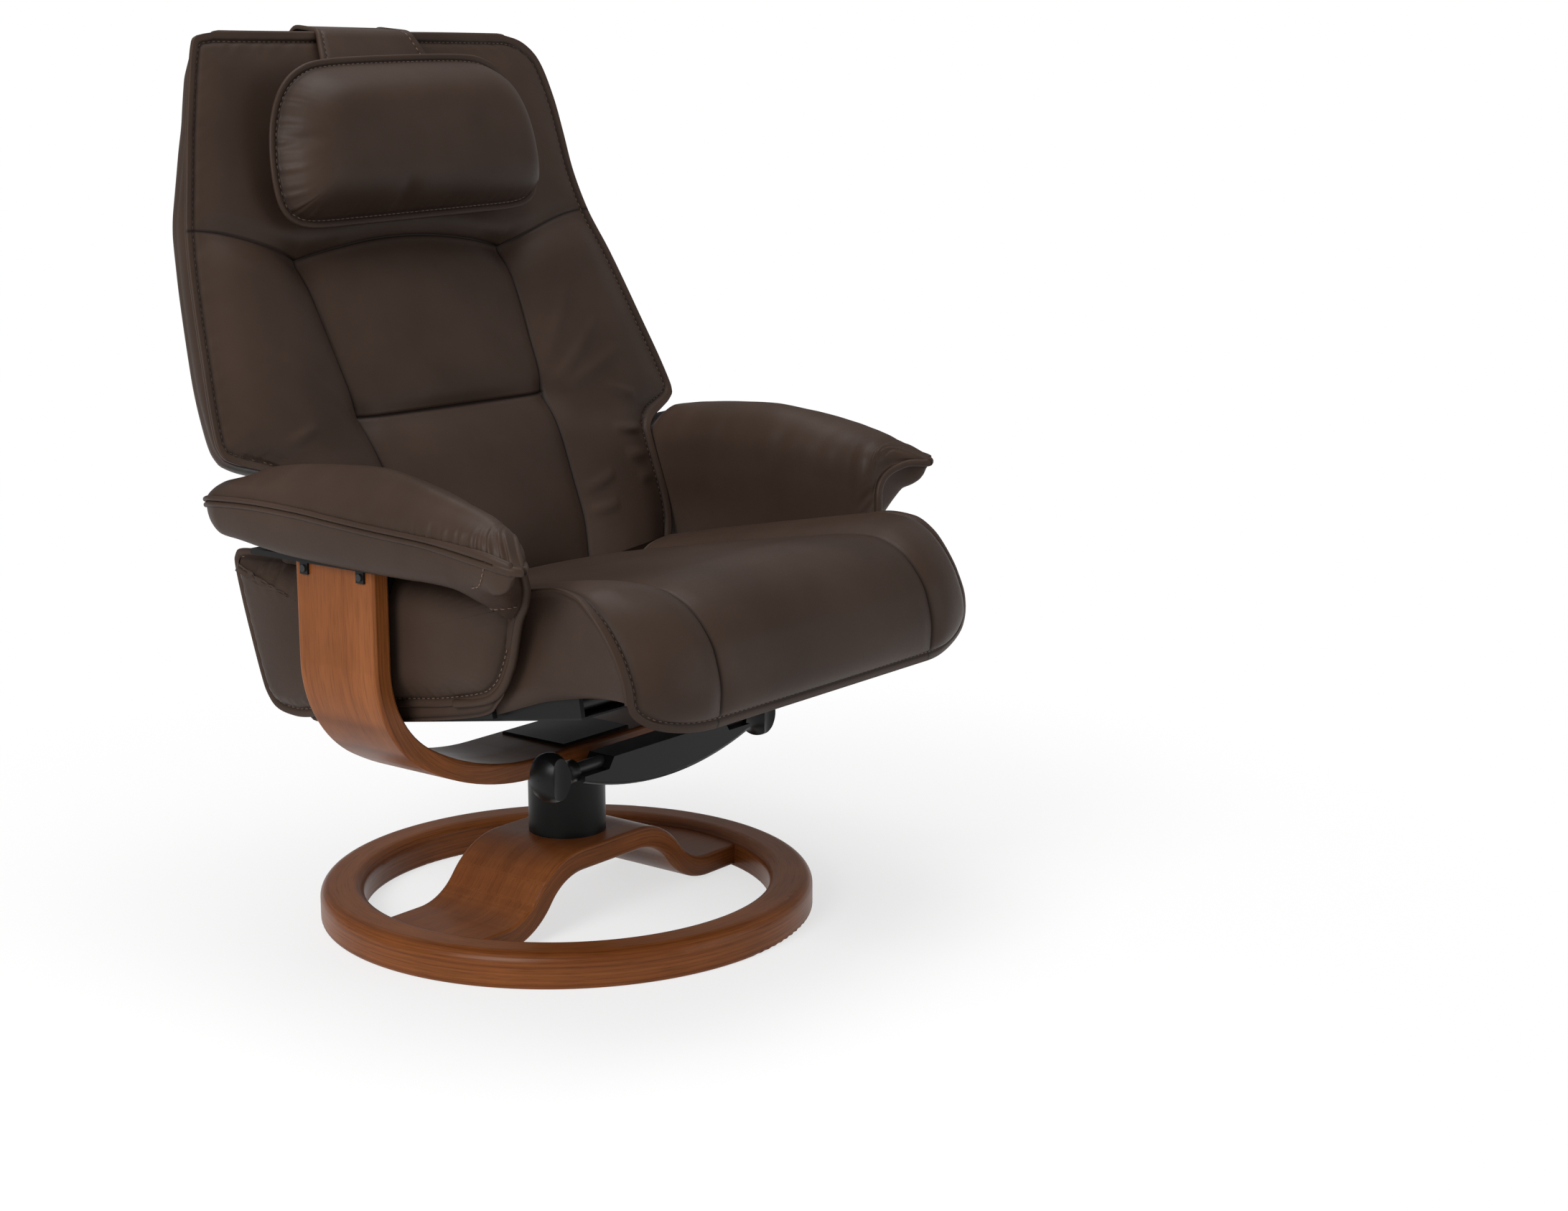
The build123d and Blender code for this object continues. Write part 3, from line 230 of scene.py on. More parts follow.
# Seams and welts of the arms
ARM_SEAMS = (
    ((-0.2550, 0.5190), (-0.2520, 0.5110), (-0.2470, 0.5002), (-0.2355, 0.4880), (-0.2170, 0.4835)),
    ((-0.1760, 0.4575), (-0.2040, 0.4560), (-0.2390, 0.4580)))
ARM_SEAT_Z = 0.484
ARM_END_STEPS = (0, 0.0006, 0.0018, 0.0036, 0.006, 0.009)
ARM_BEND_STEPS = (-0.252, -0.238, 0.0007)
ARM_TURN_Y = (-0.190, -0.240)
WELT_R = 0.0031
WELT_ROLLS = ((0.0034, 0.0004), (-0.0030, -0.0002))
WELT_REAR = ((0.330, 0.0005, 0.5310), (0.350, 0.001, 0.5300), (0.366, -0.001, 0.5285))
FRONT_LIP = (
    (0.3865, -0.262, 0.5215), (0.3840, -0.275, 0.5195), (0.3790, -0.285, 0.5175),
    (0.3720, -0.288, 0.5165), (0.3630, -0.2815, 0.5170), (0.3540, -0.2735, 0.5175),
    (0.3390, -0.2605, 0.5125), (0.3270, -0.2520, 0.5035), (0.3200, -0.2490, 0.4930),
    (0.3160, -0.2475, 0.4800), (0.3145, -0.2440, 0.4620), (0.3120, -0.2320, 0.4400),
    (0.3080, -0.2180, 0.4130), (0.3050, -0.2050, 0.3850), (0.3040, -0.1915, 0.3610),
    (0.3040, -0.1735, 0.3460), (0.3040, -0.1500, 0.3385), (0.3070, -0.1200, 0.3330))
FRONT_LIP_R = 0.0048

# Pads: rings across the lip and behind it, then each edge's reach, power, pucker height and seed
PAD_LIP_RINGS = (0.0, 0.15, 0.35, 0.6, 0.85, 1.0)
PAD_EDGE_RINGS = (0.0015, 0.004, 0.008, 0.014)
PAD_MIDDLE = 0.97
PAD_RIM = 0.0006
PILLOW_FRONT_EDGE = (0.062, 2.8, 0.0028, 0.9)
PILLOW_REAR_EDGE = (0.085, 2.2, 0.001, 2.1)
PANEL_EDGE = (0.040, 2.4, 0.0010, 3.3)
POUCH_EDGE = (0.030, 2.2, 0.0010, 5.1)

# Side panel outline in depth and height, from its front top corner down and round its rear
PANEL_POINTS = (
    (-0.218, 0.440), (-0.2125, 0.410), (-0.197, 0.369), (-0.182, 0.351), (-0.162, 0.3405), (-0.104, 0.3265),
    (-0.028, 0.314), (0.060, 0.294), (0.116, 0.2805), (0.145, 0.279), (0.169, 0.284), (0.184, 0.299),
    (0.193, 0.319), (0.206, 0.358), (0.219, 0.400), (0.230, 0.443), (0.229, 0.457), (0.218, 0.465),
    (0.170, 0.468), (0.090, 0.472), (-0.050, 0.480), (-0.170, 0.478), (-0.208, 0.464))
PANEL_LIP_X = 0.304
PANEL_BACK = 0.003
PANEL_SWELL = 0.019
PANEL_CENTRE = (-0.005, 0.392)
PANEL_FOLD = 0.0030
PANEL_FOLDS = ((0.150, 0.446), (0.05, 0.020))
PANEL_STITCH_TOP = 0.456
LINER_POINTS = (
    (-0.200, 0.400), (-0.196, 0.366), (-0.183, 0.342), (-0.150, 0.3215), (0.000, 0.2920), (0.090, 0.2780),
    (0.118, 0.284), (0.130, 0.330), (0.120, 0.400), (-0.050, 0.420))
LINER_X = 0.3016
LINER_CENTRE = (-0.03, 0.36)
LINER_LIP = 0.004
LINER_HALF_T = 0.0011
LINER_RIM = 0.0004

# Head pillow: one side of its outline, lean, turn, and dents as (middle, size)
PILLOW_SIDE = (
    (0.000, -0.097), (0.100, -0.097), (0.172, -0.096), (0.203, -0.088), (0.219, -0.070), (0.224, -0.040),
    (0.221, 0.000), (0.211, 0.036), (0.191, 0.068), (0.160, 0.089), (0.115, 0.098))
PILLOW_LEFT = 0.963
PILLOW_TOP_H = 0.100
PILLOW_FRONT = 0.050
PILLOW_REAR = 0.017
PILLOW_LEAN = math.radians(8)
PILLOW_TURN = math.radians(1.9)
PILLOW_LIP = 0.009
PILLOW_DENT = 0.005
PILLOW_DENTS = (((-0.05, -0.072), (0.014, 0.022)), ((-0.200, 0.004), (0.022, 0.008)))

# Strap: its width ahead and behind, and the corners of its run from the back's edge line
STRAP_HALF_W = (0.093, 0.070)
STRAP_SHIFT = -0.009
STRAP_T = 0.0035
STRAP_BEND = 0.014
STRAP_FOOT_Z = 0.910
STRAP_LIFT = 0.007
STRAP_AHEAD = 0.010
STRAP_KNEE = 0.030
STRAP_FRONT = (-0.003, 0.0055)
STRAP_CREST = (0.044, 0.0105)
STRAP_REAR = (0.002, 0.0075)
STRAP_DROP = 0.095
STRAP_LIP = (0.0012, 0.0014)

# Counterweight and the rear that it hangs on
POUCH_HALF_T = 0.010
POUCH_SQUARE = 5.0
REAR_LEAN = math.radians(9.2)


# Curves and noise
def smooth(x, table):
    """Monotone cubic through (place, value) pairs, flat beyond the ends."""
    places, values = np.array(table, float).T
    steps = np.diff(places)
    slopes = np.diff(values) / steps
    tangents = np.zeros(len(places))
    inner = slopes[:-1] * slopes[1:] > 0
    mean = 2 * slopes[:-1] * slopes[1:] / np.where(inner, slopes[:-1] + slopes[1:], 1)
    tangents[1:-1] = np.where(inner, mean, 0)
    tangents[0], tangents[-1] = slopes[0], slopes[-1]
    x = np.clip(np.asarray(x, float), places[0], places[-1])
    k = np.clip(np.searchsorted(places, x) - 1, 0, len(steps) - 1)
    t = (x - places[k]) / steps[k]
    rise = values[k] * (1 + 2 * t) * (1 - t) ** 2 + values[k + 1] * t * t * (3 - 2 * t)
    return rise + steps[k] * (tangents[k] * t * (1 - t) ** 2 - tangents[k + 1] * t * t * (1 - t))


def step(low, high, x):
    """Smooth rise from 0 at low to 1 at high, or the other way round where low is the larger."""
    t = np.clip((np.asarray(x, float) - low) / (high - low), 0, 1)
    return t * t * (3 - 2 * t)


def bell(x, width):
    """1 at 0, fading to both sides."""
    return np.exp(-(np.asarray(x, float) / width) ** 2)


def ripple(place, length, seed):
    """Uneven wave along place, about one fold to each length, from -1 to 1."""
    waves = np.sin(place * TAU / length + seed)
    waves = waves + 0.6 * np.sin(place * TAU / (length * 0.63) + 2.3 * seed)
    waves = waves + 0.5 * np.sin(place * TAU / (length * 1.71) + 4.1 * seed)
    return waves / 2.1


def swell(t, power):
    """Hump over t from 0 to 1, flatter on top for a larger power."""
    return 1 - np.abs(2 * np.clip(t, 0, 1) - 1) ** power


def spread(length, fine_low, fine_high, count):
    """Places from 0 to length: fixed small offsets at both ends and even steps between them."""
    low = np.array(fine_low)
    high = length - np.array(fine_high)[::-1]
    middle = np.linspace(low[-1], high[0], count + 2)[1:-1]
    return np.concatenate([low, middle, high])


def unit(rows):
    """Row vectors brought to length 1."""
    return rows / np.linalg.norm(rows, axis=1)[:, None]


def directions(path):
    """Unit vectors along a path at its points."""
    return unit(np.gradient(path, axis=0))


def left_of(along):
    """Flat directions turned a quarter to the left."""
    return np.stack([-along[:, 1], along[:, 0]], 1)


def path_lengths(path):
    """Length from the start of a path to each of its points."""
    return np.concatenate([[0], np.cumsum(np.linalg.norm(np.diff(path, axis=0), axis=1))])


def points_at(places, lengths, path):
    """Points of a path, or values along it, at places measured from its start."""
    return np.stack([np.interp(places, lengths, axis) for axis in path.T], -1)


def resample(points, count):
    """Points at even distances along a smooth curve through the given ones."""
    points = np.array(points, float)
    lengths = path_lengths(points)
    fine = np.linspace(0, lengths[-1], 40 * len(points))
    curve = np.stack([smooth(fine, np.stack([lengths, axis], 1)) for axis in points.T], 1)
    return even_points(curve, count)


def even_points(curve, count):
    """Points at even distances along a polyline."""
    lengths = path_lengths(curve)
    return points_at(np.linspace(0, lengths[-1], count), lengths, curve)


def closed_curve(points, count):
    """Closed smooth curve through the given points, at even distances."""
    points = np.array(points, float)
    n = len(points)
    curve = []
    for k in range(n):
        a, b, c, d = points[k - 1], points[k], points[(k + 1) % n], points[(k + 2) % n]
        for t in np.linspace(0, 1, 20, endpoint=False):
            curve.append(0.5 * (2 * b + (c - a) * t + (2 * a - 5 * b + 4 * c - d) * t ** 2
                                + (3 * b - a - 3 * c + d) * t ** 3))
    curve.append(curve[0])
    return even_points(np.array(curve), count + 1)[:-1]


def rounded_box(half_w, half_h, square, count):
    """Closed outline between an ellipse (square 2) and a box."""
    angle = np.linspace(0, TAU, 1440, endpoint=False)
    x = half_w * np.sign(np.cos(angle)) * np.abs(np.cos(angle)) ** (2 / square)
    y = half_h * np.sign(np.sin(angle)) * np.abs(np.sin(angle)) ** (2 / square)
    curve = np.stack([x, y], 1)
    return even_points(np.concatenate([curve, curve[:1]]), count + 1)[:-1]


# Meshes
def make_object(name, verts, faces):
    """Smooth-shaded mesh object in the scene."""
    mesh = bpy.data.meshes.new(name)
    mesh.from_pydata(np.asarray(verts, float).tolist(), [], [tuple(map(int, face)) for face in faces])
    mesh.polygons.foreach_set("use_smooth", [True] * len(mesh.polygons))
    mesh.update()
    obj = bpy.data.objects.new(name, mesh)
    bpy.context.scene.collection.objects.link(obj)
    return obj


def grid_faces(rows, cols):
    """Quads between rings of points, as many rings as rows with cols points each."""
    r, c = np.meshgrid(np.arange(rows - 1), np.arange(cols), indexing="ij")
    n = (c + 1) % cols
    quads = np.stack([r * cols + c, r * cols + n, (r + 1) * cols + n, (r + 1) * cols + c], -1)
    return quads.reshape(-1, 4).tolist()


def ring_body(name, rings, seam_shades=None):
    """Closed body over rings of points with a fan at both ends, and each point's share of the shade painted
    in the seams.
    """
    rings = np.asarray(rings, float)
    rows, cols, _ = rings.shape
    faces = grid_faces(rows, cols)
    verts = [*rings.reshape(-1, 3), rings[0].mean(0), rings[-1].mean(0)]
    first, last = rows * cols, rows * cols + 1
    base = (rows - 1) * cols
    for c in range(cols):
        n = (c + 1) % cols
        faces.append((first, n, c))
        faces.append((last, base + c, base + n))
    obj = outward(make_object(name, verts, faces))
    if seam_shades is not None:
        # Painted seam shade, stored on each point as the "crease" attribute that darkens the leather's
        # colour
        values = np.append(np.asarray(seam_shades, float).ravel(), (0, 0))
        obj.data.attributes.new("crease", "FLOAT", "POINT").data.foreach_set("value", values)
    return obj


def vertex_places(obj):
    places = np.empty(len(obj.data.vertices) * 3)
    obj.data.vertices.foreach_get("co", places)
    return places.reshape(-1, 3)


def place_vertices(obj, places):
    obj.data.vertices.foreach_set("co", places.ravel())
    obj.data.update()


def outward(obj):
    """Turns a closed mesh's faces to point out."""
    mesh = obj.data
    verts = vertex_places(obj)
    mesh.calc_loop_triangles()
    tris = np.array([t.vertices for t in mesh.loop_triangles])
    a, b, c = verts[tris[:, 0]], verts[tris[:, 1]], verts[tris[:, 2]]
    if np.einsum("ij,ij->i", a, np.cross(b, c)).sum() < 0:
        mesh.flip_normals()
    return obj


def sweep(name, path, radius, sides, up=(0, 0, 1)):
    """Tube along a path, with round ends."""
    along = directions(path)
    across = unit(np.cross(along, np.array(up, float)))
    over = np.cross(across, along)
    angle = np.linspace(0, TAU, sides, endpoint=False)[None, :, None]
    circle = np.cos(angle) * across[:, None] + np.sin(angle) * over[:, None]
    size = np.full(len(path), radius)
    size[0] = size[-1] = radius * TUBE_END
    return ring_body(name, path[:, None] + size[:, None, None] * circle)


def stitch_line(name, path, outwards):
    """Row of stitches along a path, each a short thread half sunk in the leather."""
    path = np.asarray(path, float)
    outwards = np.broadcast_to(np.asarray(outwards, float), path.shape)
    lengths = path_lengths(path)
    rows = len(STITCH_SHAPE)
    first, last = range(STITCH_SIDES), range((rows - 1) * STITCH_SIDES, rows * STITCH_SIDES)
    thread = [*grid_faces(rows, STITCH_SIDES), first[::-1], last]
    verts, faces = [], []
    for middle in np.arange(STITCH_PITCH / 2, lengths[-1] - STITCH_PITCH / 2, STITCH_PITCH):
        start, end = (points_at(middle + half * STITCH_LEN, lengths, path) for half in (-0.5, 0.5))
        normal = points_at(middle, lengths, outwards)
        normal /= np.linalg.norm(normal)
        along = (end - start) / np.linalg.norm(end - start)
        across = np.cross(along, normal)
        faces += [[len(verts) + i for i in face] for face in thread]
        for place, size, lift in STITCH_SHAPE:
            centre = (start + end) / 2 + along * place * STITCH_LEN + normal * lift * STITCH_R
            for k in range(STITCH_SIDES):
                a = TAU * k / STITCH_SIDES
                verts.append(centre + STITCH_R * size * (math.cos(a) * across + math.sin(a) * normal))
    return make_object(name, verts, faces)


def join(name, objects):
    """One object from several meshes."""
    verts, faces = [], []
    for obj in objects:
        base = len(verts)
        verts += vertex_places(obj).tolist()
        faces += [[base + i for i in polygon.vertices] for polygon in obj.data.polygons]
        bpy.data.objects.remove(obj)
    return make_object(name, verts, faces)


def mirror_x(name, obj):
    """Copy of an object on the other side of the middle plane."""
    faces = [list(polygon.vertices)[::-1] for polygon in obj.data.polygons]
    return make_object(name, vertex_places(obj) * (-1, 1, 1), faces)


# Back
def edge_y(z):
    """Depth of the back's edge line, bent smoothly at the shoulder."""
    low, high = math.tan(BACK_LEAN), math.tan(HEAD_LEAN)
    rise = np.asarray(z, float) - SHOULDER_Z
    return SHOULDER_Y + rise * (low + high) / 2 - np.sqrt(rise ** 2 + LEAN_BLEND ** 2) * (low - high) / 2


def shoulder_seam(x, half_w, seam_x):
    """Height of the seam that arches over the centre panel and climbs to the edges."""
    side = np.clip((np.abs(x) - seam_x) / (half_w - seam_x), 0, 1)
    arch = ARCH_RISE * np.clip(1 - (x / seam_x) ** 2, 0, 1)
    return SHOULDER_Z - CORNER_DROP * (1 - side) ** 1.7 + arch


def half_width(z, side):
    """Half-width of the back at height z on the left (1) or the right (-1), with a squarer top corner."""
    left = smooth(z, BACK_HALF_W + TOP_LEFT_W)
    return np.where(side > 0, left, smooth(z, BACK_HALF_W + TOP_RIGHT_W))


def back_outline(side, count=900):
    """Outline of one half of the back from its foot to the middle of its top, as (x, z) with x positive."""
    bend = BACK_TOP - 0.03
    z = np.concatenate([np.linspace(BACK_FOOT, bend, 600), np.linspace(bend, BACK_TOP, 300)[1:]])
    edge = np.stack([half_width(z, side), z], 1)
    top_x = np.linspace(edge[-1, 0], 0, 60)[1:]
    top = np.stack([top_x, np.full_like(top_x, BACK_TOP)], 1)
    return even_points(np.concatenate([edge, top]), count)


OUTLINES = {1: back_outline(1), -1: back_outline(-1)}


def edge_distance(x, z):
    """Distance of points on the back's front to its outline, the foot left out."""
    x, z = np.asarray(x, float), np.asarray(z, float)
    nearest = np.empty(len(x))
    for side, line in OUTLINES.items():
        mine = x * side >= 0
        points = np.stack([np.abs(x[mine]), z[mine]], 1)
        nearest[mine] = np.sqrt(((points[:, None] - line[None]) ** 2).sum(2).min(1))
    return nearest


def groove(distance):
    """Sewn seam: a narrow crease in a soft valley."""
    depth, width = SEAM_VALLEY
    return SEAM_DEPTH * np.clip(1 - distance / CREASE_W, 0, 1) + depth * bell(distance, width)


def seam_shade(distance, width=SEAM_SHADE_W):
    """Share of the shade painted along a seam at a point, from its distance: 1 in it and 0 beside it."""
    return np.clip(1 - np.abs(distance) / width, 0, 1)


def lip_relief(gap, rise, depth):
    """Height of a sewn edge at a distance inside it: a raised flat lip with a stitched groove behind it."""
    return rise * step(LIP, LIP - LIP_ROUND, gap) - depth * bell(gap - LIP, LIP_GROOVE_W)


def lip_groove_shade(gap, lip=LIP):
    """Share of the shade painted in the groove behind a lip at a point."""
    return LIP_SHADE * seam_shade(gap - lip, LIP_SHADE_W)


def pull(x, z, depth, width):
    """Round dent where seams meet, at a distance x, z from the crossing."""
    return depth * np.exp(-(x ** 2 + z ** 2) / width ** 2)


def spot(points, middle, size):
    """1 at the middle of an oval patch of flat points, fading round it."""
    return np.exp(-(((points - middle) / size) ** 2).sum(1))


def fold(x, z, start, end, width, height):
    """Soft fold of the leather between two points of the back's front."""
    a, b = np.array(start), np.array(end)
    along = b - a
    t = np.clip(((x - a[0]) * along[0] + (z - a[1]) * along[1]) / (along @ along), 0, 1)
    gap = np.hypot(x - a[0] - t * along[0], z - a[1] - t * along[1])
    return height * bell(gap, width) * np.sqrt(np.clip(4 * t * (1 - t), 0, 1))


BACK_FOLDS = (
    ((0.172, 0.612), (0.268, 0.690), 0.007, 0.0034),
    ((0.178, 0.606), (0.296, 0.652), 0.007, 0.0032),
    ((0.172, 0.640), (0.240, 0.735), 0.008, 0.0026),
    ((0.298, 0.590), (0.246, 0.606), 0.006, 0.0034),
    ((0.286, 0.548), (0.230, 0.556), 0.006, 0.0040),
    ((0.284, 0.518), (0.234, 0.521), 0.006, 0.0036),
    ((0.284, 0.492), (0.244, 0.492), 0.006, 0.0030),
    ((0.156, 0.484), (0.204, 0.503), 0.005, 0.0036),
    ((0.153, 0.458), (0.196, 0.466), 0.005, 0.0036),
    ((-0.172, 0.770), (-0.112, 0.800), 0.012, -0.0030),
    ((0.172, 0.772), (0.122, 0.800), 0.012, -0.0028),
    ((-0.174, 0.612), (-0.262, 0.684), 0.008, 0.0026),
    ((-0.298, 0.590), (-0.246, 0.606), 0.006, 0.0028))


def back_front_y(x, z, gap):
    """Depth of the back's front at points x, z that lie gap inside the outline."""
    half_w, seam_x = half_width(z, np.sign(x)), smooth(z, PANEL_SEAM_X)
    seam_z = shoulder_seam(x, half_w, seam_x)
    across = np.abs(x)
    side = np.clip((across - seam_x) / (half_w - seam_x), 0, 1)
    low = (z - BACK_FOOT) / (CROSS_SEAM_Z - BACK_FOOT)
    high = (z - CROSS_SEAM_Z) / (seam_z - CROSS_SEAM_Z)
    panel = np.where(z < CROSS_SEAM_Z, swell(low, 3.0), swell(high, 3.0))
    crown = PANEL_CROWN * panel * (1 - np.clip(across / seam_x, 0, 1) ** 2)
    bolster = BOLSTER_CROWN * swell(side, 2.2) * step(0, 0.06, seam_z - z + 0.02)
    valley = smooth(z, VALLEY)
    lower = np.where(across < seam_x, valley + crown, valley * (1 - side) ** 1.3 + bolster)
    head = smooth(z, HEAD_SWELL)
    above = step(-0.012, 0.028, z - seam_z)
    body = lower * (1 - above) + head * above
    below_seam = step(-0.002, 0.002, seam_z - z)
    body = body - groove(np.abs(across - seam_x)) * below_seam
    body = body - groove(np.abs(z - CROSS_SEAM_Z)) * step(-0.003, 0.001, seam_x - across)
    body = body - groove(np.abs(z - seam_z)) * 0.85
    body = body - pull(across - seam_x, z - (SHOULDER_Z - CORNER_DROP), *CORNER_PULL)
    body = body - pull(across - seam_x, z - CROSS_SEAM_Z, *CROSS_PULL)
    for start, end, width, height in BACK_FOLDS:
        body = body + fold(x, z, start, end, width, height)
    full = np.clip((gap - LIP) / EDGE_ROUND, 0, 1)
    body = body * (1 - (1 - full) ** 2.4)
    body = body + 0.0007 * ripple(z + 0.6 * across, 0.016, 1.7) * bell(gap - LIP - 0.006, 0.008)
    return edge_y(z) - body - lip_relief(gap, *BACK_LIP) - smooth(z, EDGE_FORWARD) * side ** 1.6


def back_seam_shade(x, z, gap):
    """Share of the shade painted in the back's seams at the points x, z of its front."""
    seam_x = smooth(z, PANEL_SEAM_X)
    seam_z = shoulder_seam(x, half_width(z, np.sign(x)), seam_x)
    across = np.abs(x)
    upright = seam_shade(across - seam_x) * (z < seam_z)
    level = seam_shade(z - CROSS_SEAM_Z) * (across < seam_x)
    shoulder = seam_shade(z - seam_z)
    return np.maximum.reduce([upright, level, shoulder, lip_groove_shade(gap)])


def back_rows():
    """Heights of the back's rings, fine along its cross seam, shoulder seam and top."""
    foot = np.arange(BACK_FOOT, NOTCH_LOW, 0.005)
    notch = NOTCH_LOW + spread(CROSS_SEAM_Z - NOTCH_LOW, (0.0,), FINE, 22)
    middle = CROSS_SEAM_Z + spread(SHOULDER_Z - CROSS_SEAM_Z, FINE, FINE, 44)[1:]
    head = SHOULDER_Z + spread(BACK_TOP - SHOULDER_Z, FINE, LIP_FINE, 42)[1:]
    return np.concatenate([foot, notch, middle, head])


def lean_at(z):
    """Lean of the back's edge line at height z."""
    return BACK_LEAN + (HEAD_LEAN - BACK_LEAN) * step(SHOULDER_Z - 0.03, SHOULDER_Z + 0.03, z)


def back_side(z0, side):
    """Points behind the front's edge on one side at nominal height z0: lip, boxing and half the rear."""
    half_w, edge, lean = float(half_width(z0, side)), float(edge_y(z0)), float(lean_at(z0))
    boxing, forward = float(smooth(z0, BOXING_D)), float(smooth(z0, EDGE_FORWARD))
    lip_in = LIP_T * 1.1
    start = LIP_T + 0.003
    line = [(half_w + 0.0004, 0.0015 - forward), (half_w - 0.0005, 0.0036 - forward),
            (half_w - lip_in, LIP_T - forward), (half_w - lip_in, start - forward)]
    for t in (0.15, 0.35, 0.6, 0.85, 1.0):
        bow = 0.002 * math.sin(math.pi * t)
        line.append((half_w - lip_in - 0.004 * t + bow, start - forward * (1 - t) + t * (boxing - start)))
    shell_w = line[-1][0]
    depth = float(smooth(z0, REAR_D)) - boxing
    round_x, round_d = float(smooth(z0, SHELL_ACROSS)), float(smooth(z0, SHELL_DEPTH))
    for a in np.linspace(0, math.pi / 2, 26)[1:]:
        line.append((shell_w * max(math.cos(a), 0) ** round_x, boxing + depth * math.sin(a) ** round_d))
    return [(side * x, edge + d * math.cos(lean), z0 - d * math.sin(lean)) for x, d in line]


def front_places(z0, side):
    """Places across one half of the front at nominal height z0, from the middle to the edge."""
    half_w, seam_x = float(half_width(z0, side)), float(smooth(z0, PANEL_SEAM_X))
    centre = spread(seam_x, (0.0,), FINE, 30)
    return np.concatenate([centre, seam_x + spread(half_w - seam_x, FINE, LIP_FINE, 34)[1:]])


def back_ring(z0):
    """Points round the back at nominal height z0: front, boxing, rear and boxing again."""
    x = np.concatenate([-front_places(z0, -1)[:0:-1], front_places(z0, 1)])
    reach = np.interp(z0, [CROSS_SEAM_Z, SHOULDER_Z, SHOULDER_Z + 0.12], [0, 1, 0])
    seam_z = shoulder_seam(x, half_width(z0, np.sign(x)), smooth(z0, PANEL_SEAM_X))
    z = z0 + reach * (seam_z - SHOULDER_Z)
    gap = edge_distance(x, z)
    front = np.stack([x, back_front_y(x, z, gap), z], 1)
    behind = np.concatenate([back_side(z0, 1), back_side(z0, -1)[::-1][1:]])
    # The front's points carry their share of painted seam shade, the boxing and rear none
    return np.concatenate([front, behind]), np.append(back_seam_shade(x, z, gap), np.zeros(len(behind)))


def make_back():
    """Back cushion over its rings, closed by shrinking ones on top."""
    rings, seam_shades = (list(part) for part in zip(*[back_ring(z) for z in back_rows()]))
    top = rings[-1]
    spine = top.mean(0)
    for share, rise in TOP_CLOSE:
        shrink = np.array([1 - (1 - share) * TOP_CLOSE_ACROSS, share, share])
        rings.append(spine + (top - spine) * shrink + np.array([0, 0, rise]))
        seam_shades.append(np.zeros(len(top)))
    return ring_body("back_upholstery", rings, seam_shades)


def lift_top(obj):
    """Raises the back's top edge, a little more towards the sitter's left."""
    places = vertex_places(obj)
    rise = TOP_LIFT[0] + TOP_LIFT[1] * step(*TOP_LIFT_X, places[:, 0])
    places[:, 2] += rise * step(TOP_LIFT_FOOT, BACK_TOP, places[:, 2])
    place_vertices(obj, places)
    return obj


def back_stitches():
    """Stitches along the lip, up one side of the back, over its top and down the other."""
    halves = []
    for side, line in OUTLINES.items():
        line = even_points(line, 500)
        inside = line + left_of(directions(line)) * (LIP + STITCH_SET)
        inside = inside[inside[:, 1] > BACK_STITCH_FOOT]
        halves.append(inside * np.array([side, 1]))
    x, z = np.concatenate([halves[0], halves[1][::-1][1:]]).T
    path = np.stack([x, back_front_y(x, z, np.full(len(x), LIP)), z], 1)
    return stitch_line("back_stitches", path, (0, -math.cos(BACK_LEAN), math.sin(BACK_LEAN)))


# Sewn pads: pillow, side panels and counterweight
def pad_rings(outline, centre, lip, squeeze):
    """Nested copies of a closed outline from its edge inwards, with each one's distance inside it."""
    inward = left_of(unit(np.roll(outline, -1, 0) - np.roll(outline, 1, 0)))
    gaps = [lip * share for share in PAD_LIP_RINGS] + [lip + extra for extra in PAD_EDGE_RINGS]
    rings = [outline + inward * gap for gap in gaps]
    last, start = rings[-1], gaps[-1]
    reach = np.linalg.norm(last - centre, axis=1).min()
    for share in np.linspace(0, PAD_MIDDLE, 26)[1:]:
        rings.append(centre + (last - centre) * (1 - share * np.array(squeeze)))
        gaps.append(start + share * reach)
    return rings, gaps


def sewn_pad(name, outline, centre, place, lip, front, rear, squeeze=(1, 1), flat_rear=False):
    """Pad sewn along a flat lip: front and rear give its height for a ring's points and distance."""
    centre = np.asarray(centre)
    rings, gaps = pad_rings(outline, centre, lip, squeeze)
    # Painted shade in the groove behind the lip; none on a flat rear
    seam_shades = [np.full(len(outline), lip_groove_shade(gap, lip)) for gap in gaps]
    side_a = [place(ring, front(ring, gap)) for ring, gap in zip(rings, gaps)]
    rear_seam_shades = seam_shades
    if flat_rear:
        rings = [outline + (centre - outline) * share for share in np.linspace(0, PAD_MIDDLE, len(rings))]
        rear_seam_shades = [np.zeros(len(outline)) for _ in rings]
    side_b = [place(ring, -rear(ring, gap)) for ring, gap in zip(rings, gaps)]
    return ring_body(name, side_a[::-1] + side_b, seam_shades[::-1] + rear_seam_shades)


def pad_height(ring, gap, lip, rise, reach, power, pucker=0.0, seed=0.0, where=1.0):
    """Height over the pad's middle plane: flat lip, stitched groove, then a rounded rise with puckers."""
    if gap == 0:
        return np.full(len(ring), PAD_RIM)
    full = 1 - (1 - np.clip((gap - lip) / reach, 0, 1)) ** power
    height = LIP_T / 2 + rise * full - 0.0020 * bell(gap - lip, 0.0016)
    place = np.arange(len(ring)) / len(ring) * PUCKERED_EDGE
    fade = math.exp(-max(gap - lip - 0.004, 0) / 0.0065) * step(lip * 0.7, lip + 0.003, gap)
    return height + pucker * fade * where * ripple(place, 0.017, seed)


